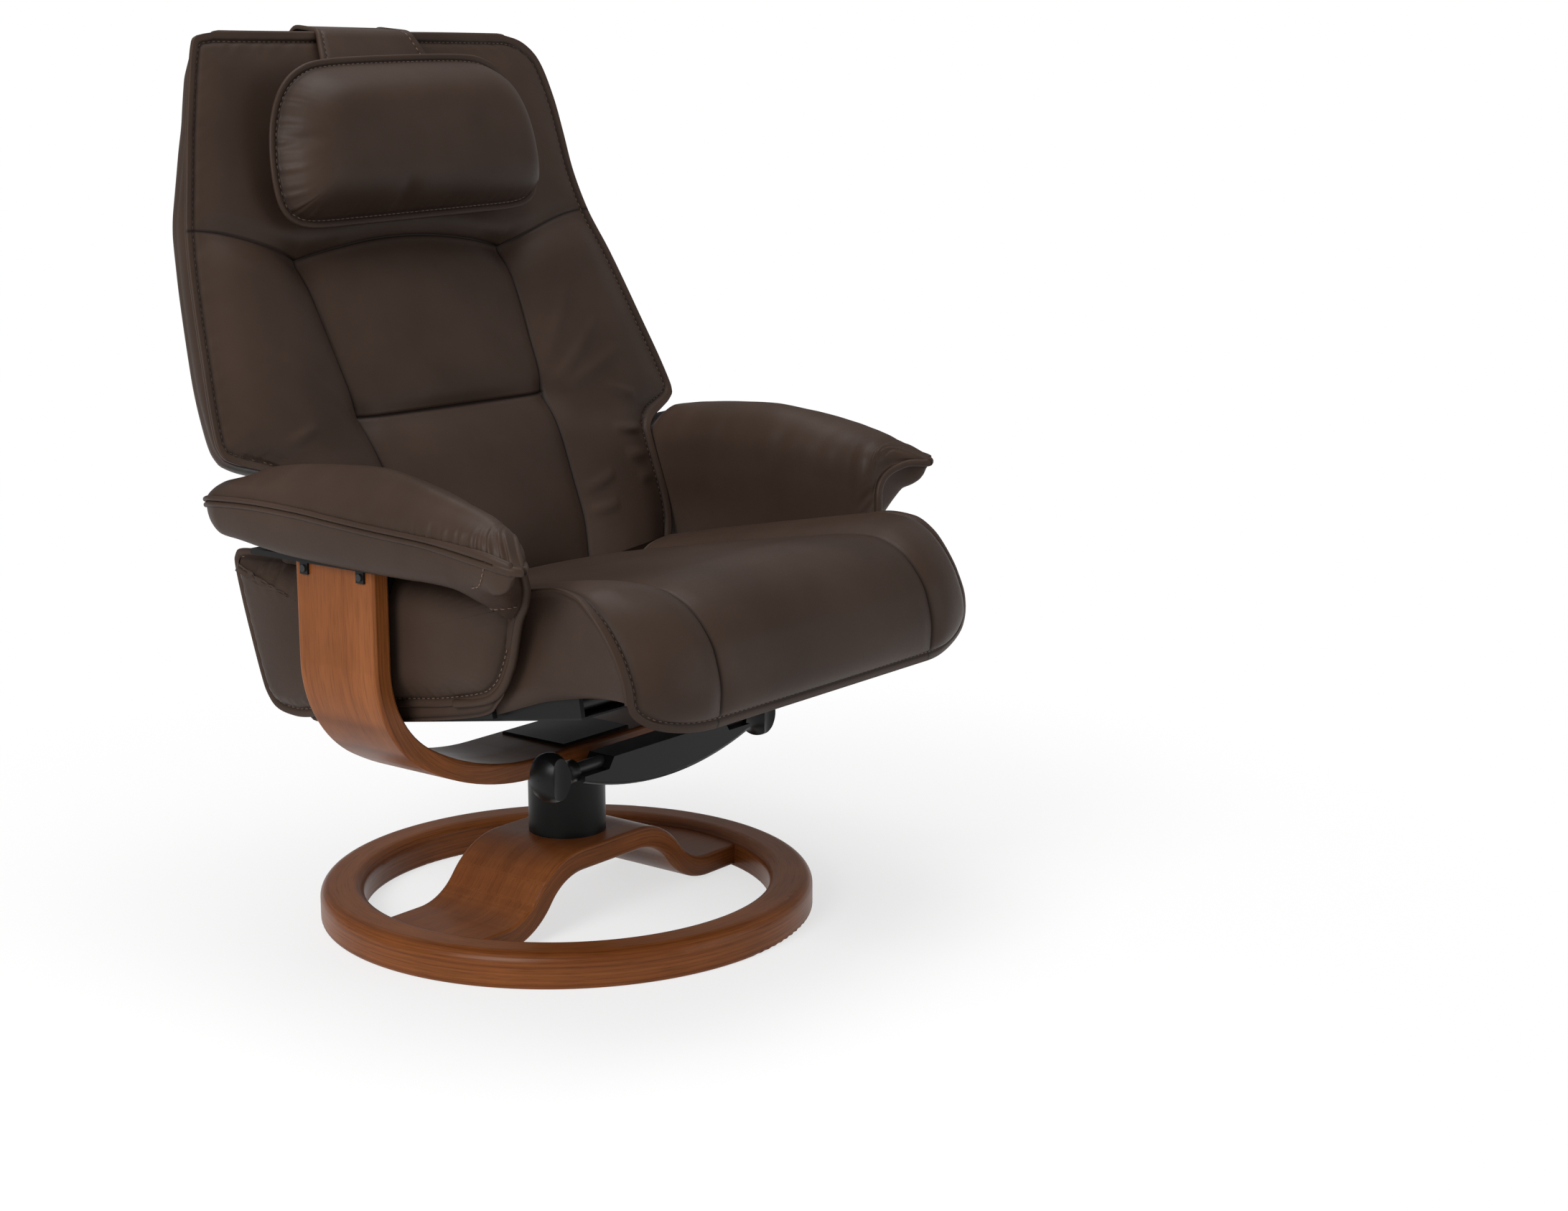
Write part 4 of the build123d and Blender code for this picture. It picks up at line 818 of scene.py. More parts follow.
def flat_place(middle, across, up, out):
    """Rule that puts a pad's flat points and heights into the frame."""
    middle, across, up, out = (np.array(v, float) for v in (middle, across, up, out))

    def place(points, height):
        height = np.broadcast_to(height, len(points))
        return middle + points[:, :1] * across + points[:, 1:2] * up + height[:, None] * out

    return place


def turned(place, matrix):
    """The same rule with the flat points turned first."""
    return lambda points, height: place(points @ matrix, height)


def seam_path(outline, centre, place, lip, squeeze=(1, 1)):
    """Closed path of the stitches along a pad's lip."""
    rings, gaps = pad_rings(outline, np.asarray(centre), lip, squeeze)
    index = gaps.index(lip)
    seam = np.concatenate([rings[index], rings[index][:1]])
    return place(seam, pad_height(seam, lip, lip, 0, 1, 1))


def make_pillow():
    """Head pillow with its puckered corners, and its stitches."""
    low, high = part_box("head_pillow")
    middle = (0, (low.y + high.y) / 2 + (PILLOW_FRONT - PILLOW_REAR) / 2, (low.z + high.z) / 2)
    out = (0, -math.cos(PILLOW_LEAN), math.sin(PILLOW_LEAN))
    place = flat_place(middle, (1, 0, 0), (0, math.sin(PILLOW_LEAN), math.cos(PILLOW_LEAN)), out)
    right = [(-x, y) for x, y in PILLOW_SIDE[:0:-1]]
    left = [(x * PILLOW_LEFT, y) for x, y in PILLOW_SIDE]
    outline = closed_curve([*left, (0, PILLOW_TOP_H), *right], 420)
    half_w, half_h = np.abs(outline).max(0)
    squeeze = (half_h / half_w, 1)
    c, s = math.cos(PILLOW_TURN), math.sin(PILLOW_TURN)
    place = turned(place, np.array([[c, s], [-s, c]]))

    def front(ring, gap):
        where = step(0.155, 0.205, -ring[:, 0]) + 0.25 * step(0.05, 0.085, -ring[:, 1])
        height = pad_height(ring, gap, PILLOW_LIP, PILLOW_FRONT - LIP_T / 2, *PILLOW_FRONT_EDGE, where)
        dents = sum(PILLOW_DENT * spot(ring, *patch) for patch in PILLOW_DENTS)
        return height - dents * step(PILLOW_LIP, PILLOW_LIP + 0.01, gap)

    def rear(ring, gap):
        return pad_height(ring, gap, PILLOW_LIP, PILLOW_REAR - LIP_T / 2, *PILLOW_REAR_EDGE)

    pillow = sewn_pad("head_pillow_leather", outline, (0, 0), place, PILLOW_LIP, front, rear, squeeze)
    path = seam_path(outline, (0, 0), place, PILLOW_LIP, squeeze)
    return pillow, stitch_line("pillow_stitches", path, out)


def make_side_panel(side, name):
    """Swelling panel inside a post, the flat liner behind it, and the stitches along its lip."""
    outline = closed_curve(PANEL_POINTS, 360)
    place = flat_place((side * PANEL_LIP_X, 0, 0), (0, 1, 0), (0, 0, 1), (side, 0, 0))

    def front(ring, gap):
        height = pad_height(ring, gap, LIP, PANEL_SWELL, *PANEL_EDGE)
        folds = PANEL_FOLD * spot(ring, *PANEL_FOLDS) * step(LIP, LIP + 0.006, gap)
        return height + folds * ripple(ring[:, 0] + 0.2 * ring[:, 1], 0.020, 1.1)

    def rear(ring, gap):
        return np.full(len(ring), PANEL_BACK if gap > 0 else PAD_RIM)

    panel = sewn_pad(name, outline, PANEL_CENTRE, place, LIP, front, rear, flat_rear=True)
    liner_place = flat_place((side * LINER_X, 0, 0), (0, 1, 0), (0, 0, 1), (side, 0, 0))
    liner_outline = closed_curve(LINER_POINTS, 160)

    def liner_face(ring, gap):
        return np.full(len(ring), LINER_HALF_T if gap > 0 else LINER_RIM)

    liner = sewn_pad(name + "_liner", liner_outline, LINER_CENTRE, liner_place, LINER_LIP,
                     liner_face, liner_face, flat_rear=True)
    path = seam_path(outline, PANEL_CENTRE, place, LIP)
    path = path[path[:, 2] < PANEL_STITCH_TOP]
    start = int(np.argmax(np.linalg.norm(np.diff(path, axis=0), axis=1))) + 1
    path = np.roll(path, -start, 0)
    return panel, liner, stitch_line(name + "_stitches", path, (side, 0, 0))


# Strap over the top of the back and the counterweight behind it
def round_corners(points, radius, steps=8):
    """Polyline with each corner rounded by an arc."""
    points = [np.array(p, float) for p in points]
    path = [points[0]]
    for before, corner, after in zip(points, points[1:], points[2:]):
        a = (before - corner) / np.linalg.norm(before - corner)
        b = (after - corner) / np.linalg.norm(after - corner)
        half = math.acos(float(np.clip(a @ b, -1, 1))) / 2
        reach = radius / math.tan(half)
        centre = corner + (a + b) / np.linalg.norm(a + b) * radius / math.sin(half)
        start, end = corner + a * reach - centre, corner + b * reach - centre
        sweep_angle = math.pi - 2 * half
        for k in range(steps + 1):
            t = k / steps
            weight_a = math.sin((1 - t) * sweep_angle) / math.sin(sweep_angle)
            weight_b = math.sin(t * sweep_angle) / math.sin(sweep_angle)
            path.append(centre + start * weight_a + end * weight_b)
    path.append(points[-1])
    return np.array(path)


def strap_line():
    """Middle line of the strap in depth and height, from behind the pillow over the top to the rear."""
    knee_z = BACK_TOP - STRAP_KNEE
    foot_y, knee_y, top_y = (float(edge_y(z)) for z in (STRAP_FOOT_Z, knee_z, BACK_TOP))
    foot = (foot_y - STRAP_AHEAD, STRAP_FOOT_Z)
    knee = (knee_y - STRAP_AHEAD - STRAP_LIFT, knee_z)
    front = (top_y + STRAP_FRONT[0], BACK_TOP + STRAP_FRONT[1])
    crest = (top_y + STRAP_CREST[0], BACK_TOP + STRAP_CREST[1])
    depth = REAR_D[-1][1] + STRAP_REAR[0]
    rear = (top_y + depth * math.cos(HEAD_LEAN), BACK_TOP + STRAP_REAR[1] - depth * math.sin(HEAD_LEAN))
    tail = (rear[0] - STRAP_DROP * math.tan(REAR_LEAN), rear[1] - STRAP_DROP)
    return even_points(round_corners([foot, knee, front, crest, rear, tail], STRAP_BEND), 110)


def make_strap():
    """Strap that narrows towards the rear, and the stitches along both its edges."""
    line = strap_line()
    out = left_of(directions(line))
    half = STRAP_HALF_W[0]
    across = np.concatenate([[-half], -half + np.array(LIP_FINE[1:]), np.linspace(-0.04, 0.04, 9),
                             half - np.array(LIP_FINE[:0:-1]), [half]])
    gap = half - np.abs(across)
    rise = STRAP_T / 2 + lip_relief(gap, *STRAP_LIP)
    rise = np.where(gap == 0, 0.0004, rise)
    rings = []
    narrow = 1 + (STRAP_HALF_W[1] / half - 1) * step(0.25, 0.60, np.linspace(0, 1, len(line)))
    for (y, z), (ny, nz), taper in zip(line, out, narrow):
        places = across * taper + STRAP_SHIFT
        top = [(x, y + ny * h, z + nz * h) for x, h in zip(places, rise)]
        under = [(x, y - ny * STRAP_T / 2, z - nz * STRAP_T / 2) for x in places[::-1]]
        rings.append(top + under)
    strap = ring_body("pillow_strap_leather", rings)
    seam_y, seam_z = (line + out * (STRAP_T / 2 - STRAP_LIP[0])).T
    normals = np.stack([np.zeros(len(line)), *out.T], 1)
    rows = []
    for side in (-1, 1):
        seam_x = side * (half - LIP) * narrow + STRAP_SHIFT
        rows.append(stitch_line("strap_row", np.stack([seam_x, seam_y, seam_z], 1), normals))
    return strap, join("strap_stitches", rows)


def make_counterweight():
    """Flat pouch that hangs behind the back, and its stitches."""
    low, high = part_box("pillow_counterweight")
    size = np.array(high) - np.array(low)
    middle = (np.array(low) + np.array(high)) / 2
    out = (0, math.cos(REAR_LEAN), -math.sin(REAR_LEAN))
    place = flat_place(middle, (1, 0, 0), (0, math.sin(REAR_LEAN), math.cos(REAR_LEAN)), out)

    def face(ring, gap):
        return pad_height(ring, gap, LIP, POUCH_HALF_T - LIP_T / 2, *POUCH_EDGE)

    outline = rounded_box(size[0] / 2, size[2] / 2, POUCH_SQUARE, 240)
    pouch = sewn_pad("counterweight_leather", outline, (0, 0), place, LIP, face, face)
    path = seam_path(outline, (0, 0), place, LIP)
    return pouch, stitch_line("counterweight_stitches", path, out)


# Arms
def arm_section(y):
    """Points round the arm at depth y on the left: skirt, inner face, crown, welt and underside."""
    tables = (ARM_TOP, ARM_WELT, ARM_UNDER, ARM_SKIRT, ARM_INNER, ARM_OUTER, ARM_CHIN_X)
    top, welt, under, skirt, inner, outer, chin = (float(smooth(y, table)) for table in tables)
    rise, wide, drop = top - skirt, outer - inner, welt - under
    slope, deep = outer - chin, welt - skirt
    crest = 0.48 + 0.15 * float(step(-0.06, -0.18, y)) + 0.20 * float(step(0.10, 0.16, y))
    seat_z = min(ARM_SEAT_Z, under) + max(under - ARM_SEAT_Z, 0) * float(step(0.12, 0.16, y))
    flap = max(seat_z - skirt, 0)
    crown = (
        (inner + wide * crest * 0.10, skirt + rise * 0.79),
        (inner + wide * crest * 0.46, skirt + rise * 0.935),
        (inner + wide * crest, top),
        (inner + wide * (0.46 + crest * 0.54), top - (top - welt) * 0.19),
        (inner + wide * (0.90 + crest * 0.10), top - (top - welt) * 0.53),
        (outer, welt))
    behind = (
        (inner, skirt + 0.004), (inner, skirt + rise * 0.30), (inner, skirt + rise * 0.56), *crown,
        (outer - wide * 0.02, welt - drop * 0.45), (outer - wide * 0.10, under + drop * 0.14),
        (outer - wide * 0.24, under), (inner + wide * 0.30, seat_z),
        (inner + wide * 0.13, seat_z - flap * 0.03),
        (inner + wide * 0.10, skirt + min(flap * 0.5, 0.020)), (inner + wide * 0.07, skirt))
    ahead = (
        (chin - 0.005, skirt + min(deep * 0.5, 0.006)),
        (inner + (chin - inner) * 0.45, skirt + rise * 0.25), (inner, skirt + rise * 0.52), *crown,
        (outer - slope * 0.06, welt - drop * 0.50), (outer - slope * 0.22, under + drop * 0.12),
        (outer - slope * 0.55, under + (skirt - under) * 0.40), (chin + 0.006, skirt + 0.003),
        (chin + 0.003, skirt + 0.001), (chin, skirt), (chin - 0.003, skirt + 0.001))
    turn = float(step(*ARM_TURN_Y, y))
    keys = np.array(behind) * (1 - turn) + np.array(ahead) * turn
    ring = closed_curve(keys, 160)
    return np.stack([ring[:, 0], np.full(len(ring), y), ring[:, 1]], 1)


def arm_gathers(ring):
    """Section with short gathers above the welt towards the front and along the lip of the front end."""
    y = ring[0, 1]
    welt, outer, skirt = (float(smooth(y, table)) for table in (ARM_WELT, ARM_OUTER, ARM_SKIRT))
    above = ring[:, 2] - welt
    along = y + (ring[:, 0] - outer) * float(step(*GATHER_TURN_Y, y))
    near_welt = float(step(*GATHER_WELT_Y, y)) * bell(above - 0.009, 0.008)
    near_welt = near_welt * step(outer - 0.06, outer - 0.03, ring[:, 0])
    near_lip = float(step(*GATHER_LIP_Y, y)) * bell(above - 0.008, 0.010)
    pleat = np.maximum(ripple(along, GATHER_LEN, 0.6), -0.45)
    inside = float(step(*INNER_FOLD_Y, y)) * bell(ring[:, 2] - skirt - 0.022, 0.024)
    inside = inside * (ring[:, 0] < outer - 0.05)
    soft = 0.0008 * ripple(y + ring[:, 2] * 0.4, 0.05, 2.0) * bell(above - 0.02, 0.02)
    lift = GATHER_RISE * np.maximum(near_welt, near_lip) * pleat + soft
    lift = lift + INNER_FOLD_RISE * inside * ripple(ring[:, 2] * 0.8 + y * 0.6, 0.015, 2.2)
    middle = np.array([ring[:, 0].mean(), welt])
    out = unit(ring[:, [0, 2]] - middle)
    moved = ring.copy()
    moved[:, [0, 2]] += out * lift[:, None]
    return moved


def arm_stations():
    """Depths of the arm's sections, close together at its ends and where the front turns down."""
    ends = np.array(ARM_END_STEPS)
    front = ARM_FRONT + ends
    rear = ARM_REAR - ends[::-1]
    bend = np.arange(*ARM_BEND_STEPS)
    return np.concatenate([front, np.linspace(front[-1], bend[0], 24)[1:-1], bend,
                           np.linspace(bend[-1], rear[0], 210)[1:-1], rear])


def make_arm(name):
    """Padded arm over its sections."""
    rings = [arm_gathers(arm_section(y)) for y in arm_stations()]
    return ring_body(name, rings)


def make_arm_welts(name):
    """Twin rolls along the arm's outer edge and the lip that runs down its front to the side panel."""
    y = np.linspace(ARM_REAR - 0.004, ARM_FRONT + 0.004, 120)
    run = np.stack([smooth(y, ARM_OUTER) + 0.0005, y, smooth(y, ARM_WELT)], 1)
    rear = [(x, ARM_REAR + past, z) for x, past, z in WELT_REAR]
    path = resample(np.concatenate([rear, run]), 240)
    rolls = []
    for lift, out in WELT_ROLLS:
        rolls.append(sweep("roll", path + np.array([out, 0, lift]), WELT_R, sides=10))
    lip = resample(FRONT_LIP, 150)
    rolls.append(sweep("lip", lip, FRONT_LIP_R, sides=12, up=(1, 0, 0)))
    return join(name, rolls)


def surface_tree(obj):
    """Search tree over an object's faces."""
    polygons = [polygon.vertices for polygon in obj.data.polygons]
    return BVHTree.FromPolygons(vertex_places(obj).tolist(), polygons)


def nose_share(y, z):
    """How far a point of an arm belongs to its front end, from 0 to 1."""
    return step(*NOSE_Y, y) * step(*NOSE_Z, z)


def arm_front_stitches(name, side, end, pieces):
    """Stitched seams laid on the front of the arm: the end of the boxing and a level one below it."""
    trees = [surface_tree(piece) for piece in pieces]
    move = np.array(ARM_NOSE_MOVE[end]) - np.array(ARM_NOSE_MOVE["right"])
    rows = []
    for seam in ARM_SEAMS:
        points = resample(seam, 40)
        share = nose_share(*points.T)
        places, normals = [], []
        for y, z in points + share[:, None] * move:
            hits = [tree.ray_cast(Vector((side * 0.6, y, z)), Vector((-side, 0, 0))) for tree in trees]
            hits = sorted((hit for hit in hits if hit[0] is not None), key=lambda hit: side * hit[0].x)
            for place, normal, _, _ in hits[-1:]:
                places.append(np.array(place) + np.array(normal) * 0.0004)
                normals.append(np.array(normal))
        rows.append(stitch_line("row", places, normals))
    return join(name, rows)


def settle_arm(obj, end):
    """Moves and rounds the front of one arm as it sits on that side, and hollows its rear for the back."""
    places = vertex_places(obj)
    x, y, z = np.abs(places[:, 0]), places[:, 1], places[:, 2]
    share, upper = nose_share(y, z), step(*ARM_UPPER_Z, z)
    inner = step(*NOSE_INNER_X, x)
    crown = share * step(*NOSE_CROWN_Z, z)
    tuck = step(*TUCK_X, x) * step(*TUCK_Z, z) * step(*TUCK_Y, y)
    dip = ARM_NOSE_DIP[end] * inner * share * upper
    rear = ARM_REAR_DIP * step(*REAR_DIP_X, x) * step(*REAR_DIP_Y, y) * upper
    nose_move, crown_move = ARM_NOSE_MOVE[end], ARM_CROWN_MOVE[end]
    places[:, 1] += nose_move[0] * share + crown_move[0] * crown + ARM_NOSE_TUCK[end] * tuck
    places[:, 2] += nose_move[1] * share + crown_move[1] * crown * (1 - inner) - dip - rear
    place_vertices(obj, places)


# Seat
def seat_point(y, z):
    """Depth and height in the frame of a point in the seat's own tilted frame."""
    c, s = math.cos(SEAT_PITCH), math.sin(SEAT_PITCH)
    return y * c + z * s, SEAT_Z - y * s + z * c


def seat_lines():
    """Profile along the panel seam, profile along the side, and the first one's outward normals."""
    middle, outer = resample(SEAT_MIDDLE, 1200), resample(SEAT_SIDE, 1200)
    return middle, outer, -left_of(directions(middle))


SEAT_LINES = seat_lines()
SEAT_LEN = float(np.linalg.norm(np.diff(SEAT_LINES[0], axis=0), axis=1).sum())


def seat_end(x):
    """Length of the profile at x, shorter towards the sides for the round lower corners."""
    turn = np.clip((np.abs(x) - SEAT_CORNER_X) / (SEAT_HALF_W - SEAT_CORNER_X), 0, 1)
    return SEAT_LEN - SEAT_CORNER_RISE * (1 - np.sqrt(1 - turn ** 2))


def seat_border(count=700):
    """Edge of the seat's cover, unrolled: down one side, round the front and up the other."""
    x = SEAT_HALF_W * np.sin(np.linspace(-math.pi / 2, math.pi / 2, 400))
    front = np.stack([x, seat_end(x)], 1)
    side = np.array([[SEAT_HALF_W, 0.0]])
    return even_points(np.concatenate([side * np.array([-1, 1]), front, side]), count)


SEAT_BORDER = seat_border()


def seat_gap(x, place):
    """Distance of unrolled points to the edge of the seat's cover."""
    points = np.stack([x, place], 1)
    return np.sqrt(((points[:, None] - SEAT_BORDER[None]) ** 2).sum(2).min(1))


def seat_surface(x, place, gap):
    """Points of the seat's cover in its own frame, from x, the length down the profile and the edge gap."""
    share = np.clip(place / SEAT_LEN, 0, 1) * (len(SEAT_LINES[0]) - 1)
    at = np.arange(len(SEAT_LINES[0]))
    middle, outer, normal = (points_at(share, at, line).T for line in SEAT_LINES)
    across = np.abs(x)
    side = np.clip((across - SEAT_SEAM_X) / (SEAT_HALF_W - SEAT_SEAM_X), 0, 1)
    crown = SEAT_CROWN * (1 - np.clip(across / SEAT_SEAM_X, 0, 1) ** 2)
    bolster = SEAT_BOLSTER * swell(side, 2.2) * (side > 0)
    full = 1 - (1 - np.clip((gap - LIP) / SEAT_EDGE_ROUND, 0, 1)) ** 2.2
    rise = (crown + bolster - 0.9 * groove(np.abs(across - SEAT_SEAM_X))) * full
    rise = rise + lip_relief(gap, *SEAT_LIP) - SEAT_EDGE_DROP * (1 - full)
    return middle + (outer - middle) * side ** 1.5 + normal * rise, normal


def seat_flare(x, place):
    """Places across, spread outwards at the seat's front where the arms no longer hold it in."""
    side = np.clip((np.abs(x) - SEAT_SEAM_X) / (SEAT_HALF_W - SEAT_SEAM_X), 0, 1)
    return x + np.sign(x) * SEAT_FLARE * side * step(0.52 * SEAT_LEN, 0.74 * SEAT_LEN, place)


def seat_columns():
    """Places across the seat, fine along its seams and edges."""
    centre = spread(SEAT_SEAM_X, (0.0,), FINE, 30)
    side = SEAT_SEAM_X + spread(SEAT_HALF_W - SEAT_SEAM_X, FINE, LIP_FINE, 14)[1:]
    half = np.concatenate([centre, side])
    return np.concatenate([-half[:0:-1], half])


def make_seat():
    """Seat cushion: the sewn cover, its boxing and a flat underside, ring by ring from rear to front."""
    x = seat_columns()
    shares = spread(SEAT_LEN, (0.0,), LIP_FINE, 120) / SEAT_LEN
    ends = seat_end(x)
    rings, seam_shades = [], []
    for share in shares:
        place = share * ends
        gap = seat_gap(x, place)
        (y, z), normal = seat_surface(x, place, gap)
        base_y = SEAT_BASE_REAR + (SEAT_BASE_FRONT - SEAT_BASE_REAR) * share
        base = np.array([base_y, 0.001 + float(smooth(base_y, SEAT_BASE_LIFT))])
        edge, out = np.array([y[-1], z[-1]]), normal[:, -1]
        inner = edge - out * LIP_T
        wide_x = seat_flare(x, place)
        half = wide_x[-1]
        down = [(half + 0.0004, *(edge - out * 0.0018)), (half - 0.0006, *(edge - out * 0.004)),
                (half - 0.005, *inner)]
        for t in (0.06, 0.18, 0.36, 0.58, 0.8, 1.0):
            point = inner + (base - inner) * t
            wide = half + (SEAT_HALF_W - half) * t
            down.append((wide - 0.006 - 0.003 * math.sin(math.pi * min(t, 0.9)), *point))
        floor = [(px, *base) for px in np.linspace(SEAT_FLOOR_HALF_W, -SEAT_FLOOR_HALF_W, 14)]
        loop = np.array([*zip(wide_x, y, z), *down, *floor, *[(-px, py, pz) for px, py, pz in down[::-1]]])
        depth, height = seat_point(loop[:, 1], loop[:, 2])
        rings.append(np.stack([loop[:, 0], depth, height], 1))
        # Painted shade along the panel seams and in the groove behind the lip
        seams = np.maximum(seam_shade(np.abs(x) - SEAT_SEAM_X), lip_groove_shade(gap))
        seam_shades.append(np.append(seams, np.zeros(len(loop) - len(x))))
    return ring_body("seat_upholstery", rings, seam_shades)


def seat_stitches():
    """Stitches along the lip of the seat's cover."""
    x, place = (SEAT_BORDER - left_of(directions(SEAT_BORDER)) * LIP).T
    (y, z), normal = seat_surface(x, place, np.full(len(x), LIP))
    depth, height = seat_point(y, z)
    out = np.subtract(seat_point(*normal), np.array(seat_point(0, 0))[:, None])
    outwards = np.stack([np.zeros(len(x)), *out], 1)
    return stitch_line("seat_stitches", np.stack([seat_flare(x, place), depth, height], 1), outwards)


# Materials: dark and light colour, then roughness, speckle scale, metal and relief, or the weave's pitch
WHITE = (1, 1, 1, 1)
LEATHER = ((0.0340, 0.0202, 0.0142), (0.0470, 0.0288, 0.0208), 0.46)
# Near-black brown painted into the seams as shade
SEAM_SHADE_COLOR = (0.006, 0.004, 0.003, 1)
THREAD_TONES = ((0.2, (0.080, 0.042, 0.026)), (0.8, (0.150, 0.088, 0.058)))
WOOD_TONES = (
    (0.26, (0.165, 0.050, 0.0125)), (0.50, (0.200, 0.065, 0.0175)), (0.76, (0.240, 0.083, 0.0245)))
GRAINY = {
    "black_steel": ((0.0036, 0.0038, 0.0036), (0.0066, 0.0068, 0.0064), 0.38, 900.0),
    "steel": ((0.030, 0.030, 0.030), (0.055, 0.055, 0.055), 0.36, 1200.0, 0.6),
    "black_plastic": ((0.0036, 0.0038, 0.0036), (0.0062, 0.0066, 0.0062), 0.34, 1500.0),
    "nylon": ((0.42, 0.42, 0.40), (0.52, 0.52, 0.50), 0.5, 800.0),
    "felt": ((0.03, 0.026, 0.022), (0.07, 0.06, 0.05), 0.9, 700.0, 0.0, 0.002)}
WOVEN = {
    "webbing": ((0.012, 0.012, 0.012), (0.04, 0.04, 0.04), 0.0035),
    "dust_cloth": ((0.006, 0.006, 0.006), (0.016, 0.016, 0.016), 0.0016)}


def new_material(name):
    """New material with its nodes, links and main shader."""
    material = bpy.data.materials.new(name)
    material.use_nodes = True
    tree = material.node_tree
    return material, tree.nodes, tree.links, tree.nodes["Principled BSDF"]


def set_inputs(node, inputs):
    for key, value in inputs.items():
        node.inputs[key].default_value = value


def add_node(tree_nodes, kind, inputs=None, **settings):
    """New node with its settings and input values."""
    node = tree_nodes.new(kind)
    for key, value in settings.items():
        setattr(node, key, value)
    set_inputs(node, inputs or {})
    return node


def wire(links, *wires):
    """Links nodes, each wire as a node, its output, the next node and its input."""
    for start, output, end, entry in wires:
        links.new(start.outputs[output], end.inputs[entry])


def ramp_node(tree_nodes, stops):
    """Colour ramp through (place, colour) stops."""
    node = tree_nodes.new("ShaderNodeValToRGB")
    elements = node.color_ramp.elements
    while len(elements) < len(stops):
        elements.new(0.5)
    for element, (place, color) in zip(elements, stops):
        element.position = place
        element.color = (*color, 1)
    return node


def leather_material(name, dark, light, rough):
    """Semi-aniline leather: soft colour drift, pebbled grain, fine crease relief and shade painted into the
    seams.
    """
    material, tree, links, shader = new_material(name)
    place = add_node(tree, "ShaderNodeTexCoord")
    drift = add_node(tree, "ShaderNodeTexNoise", {"Scale": 7.0, "Detail": 4.0})
    color = ramp_node(tree, ((0.32, dark), (0.70, light)))
    grain = add_node(tree, "ShaderNodeTexVoronoi", {"Scale": 620.0}, feature="DISTANCE_TO_EDGE")
    pores = add_node(tree, "ShaderNodeTexNoise", {"Scale": 340.0, "Detail": 3.0})
    crease = add_node(tree, "ShaderNodeTexNoise", {"Scale": 38.0, "Detail": 5.0, "Distortion": 0.6})
    fine = add_node(tree, "ShaderNodeBump", {"Strength": 0.16, "Distance": 0.0004})
    mid = add_node(tree, "ShaderNodeBump", {"Strength": 0.12, "Distance": 0.0006})
    broad = add_node(tree, "ShaderNodeBump", {"Strength": 0.10, "Distance": 0.0022})
    gloss = add_node(tree, "ShaderNodeMapRange", {"To Min": rough - 0.05, "To Max": rough + 0.08})
    for texture in (drift, grain, pores, crease):
        wire(links, (place, "Object", texture, "Vector"))
    # Painted shade: the "crease" attribute mixes the colour towards the near-black brown of the seams
    seam = add_node(tree, "ShaderNodeAttribute", attribute_name="crease")
    shade = add_node(tree, "ShaderNodeMix", {"B": SEAM_SHADE_COLOR}, data_type="RGBA")
    wire(
        links, (drift, "Fac", color, "Fac"), (seam, "Fac", shade, "Factor"), (color, "Color", shade, "A"),
        (shade, "Result", shader, "Base Color"), (pores, "Fac", gloss, "Value"),
        (gloss, "Result", shader, "Roughness"), (crease, "Fac", broad, "Height"),
        (pores, "Fac", mid, "Height"), (grain, "Distance", fine, "Height"),
        (broad, "Normal", mid, "Normal"), (mid, "Normal", fine, "Normal"),
        (fine, "Normal", shader, "Normal"))
    set_inputs(shader, {"Specular IOR Level": 0.13})
    return material


def thread_material():
    """Sewing thread with a fine twist."""
    material, tree, links, shader = new_material("thread")
    place = add_node(tree, "ShaderNodeTexCoord")
    twist = add_node(
        tree, "ShaderNodeTexWave", {"Scale": 900.0, "Distortion": 1.0}, bands_direction="DIAGONAL")
    color = ramp_node(tree, THREAD_TONES)
    wire(
        links, (place, "Object", twist, "Vector"), (twist, "Fac", color, "Fac"),
        (color, "Color", shader, "Base Color"))
    set_inputs(shader, {"Roughness": 0.6})
    return material


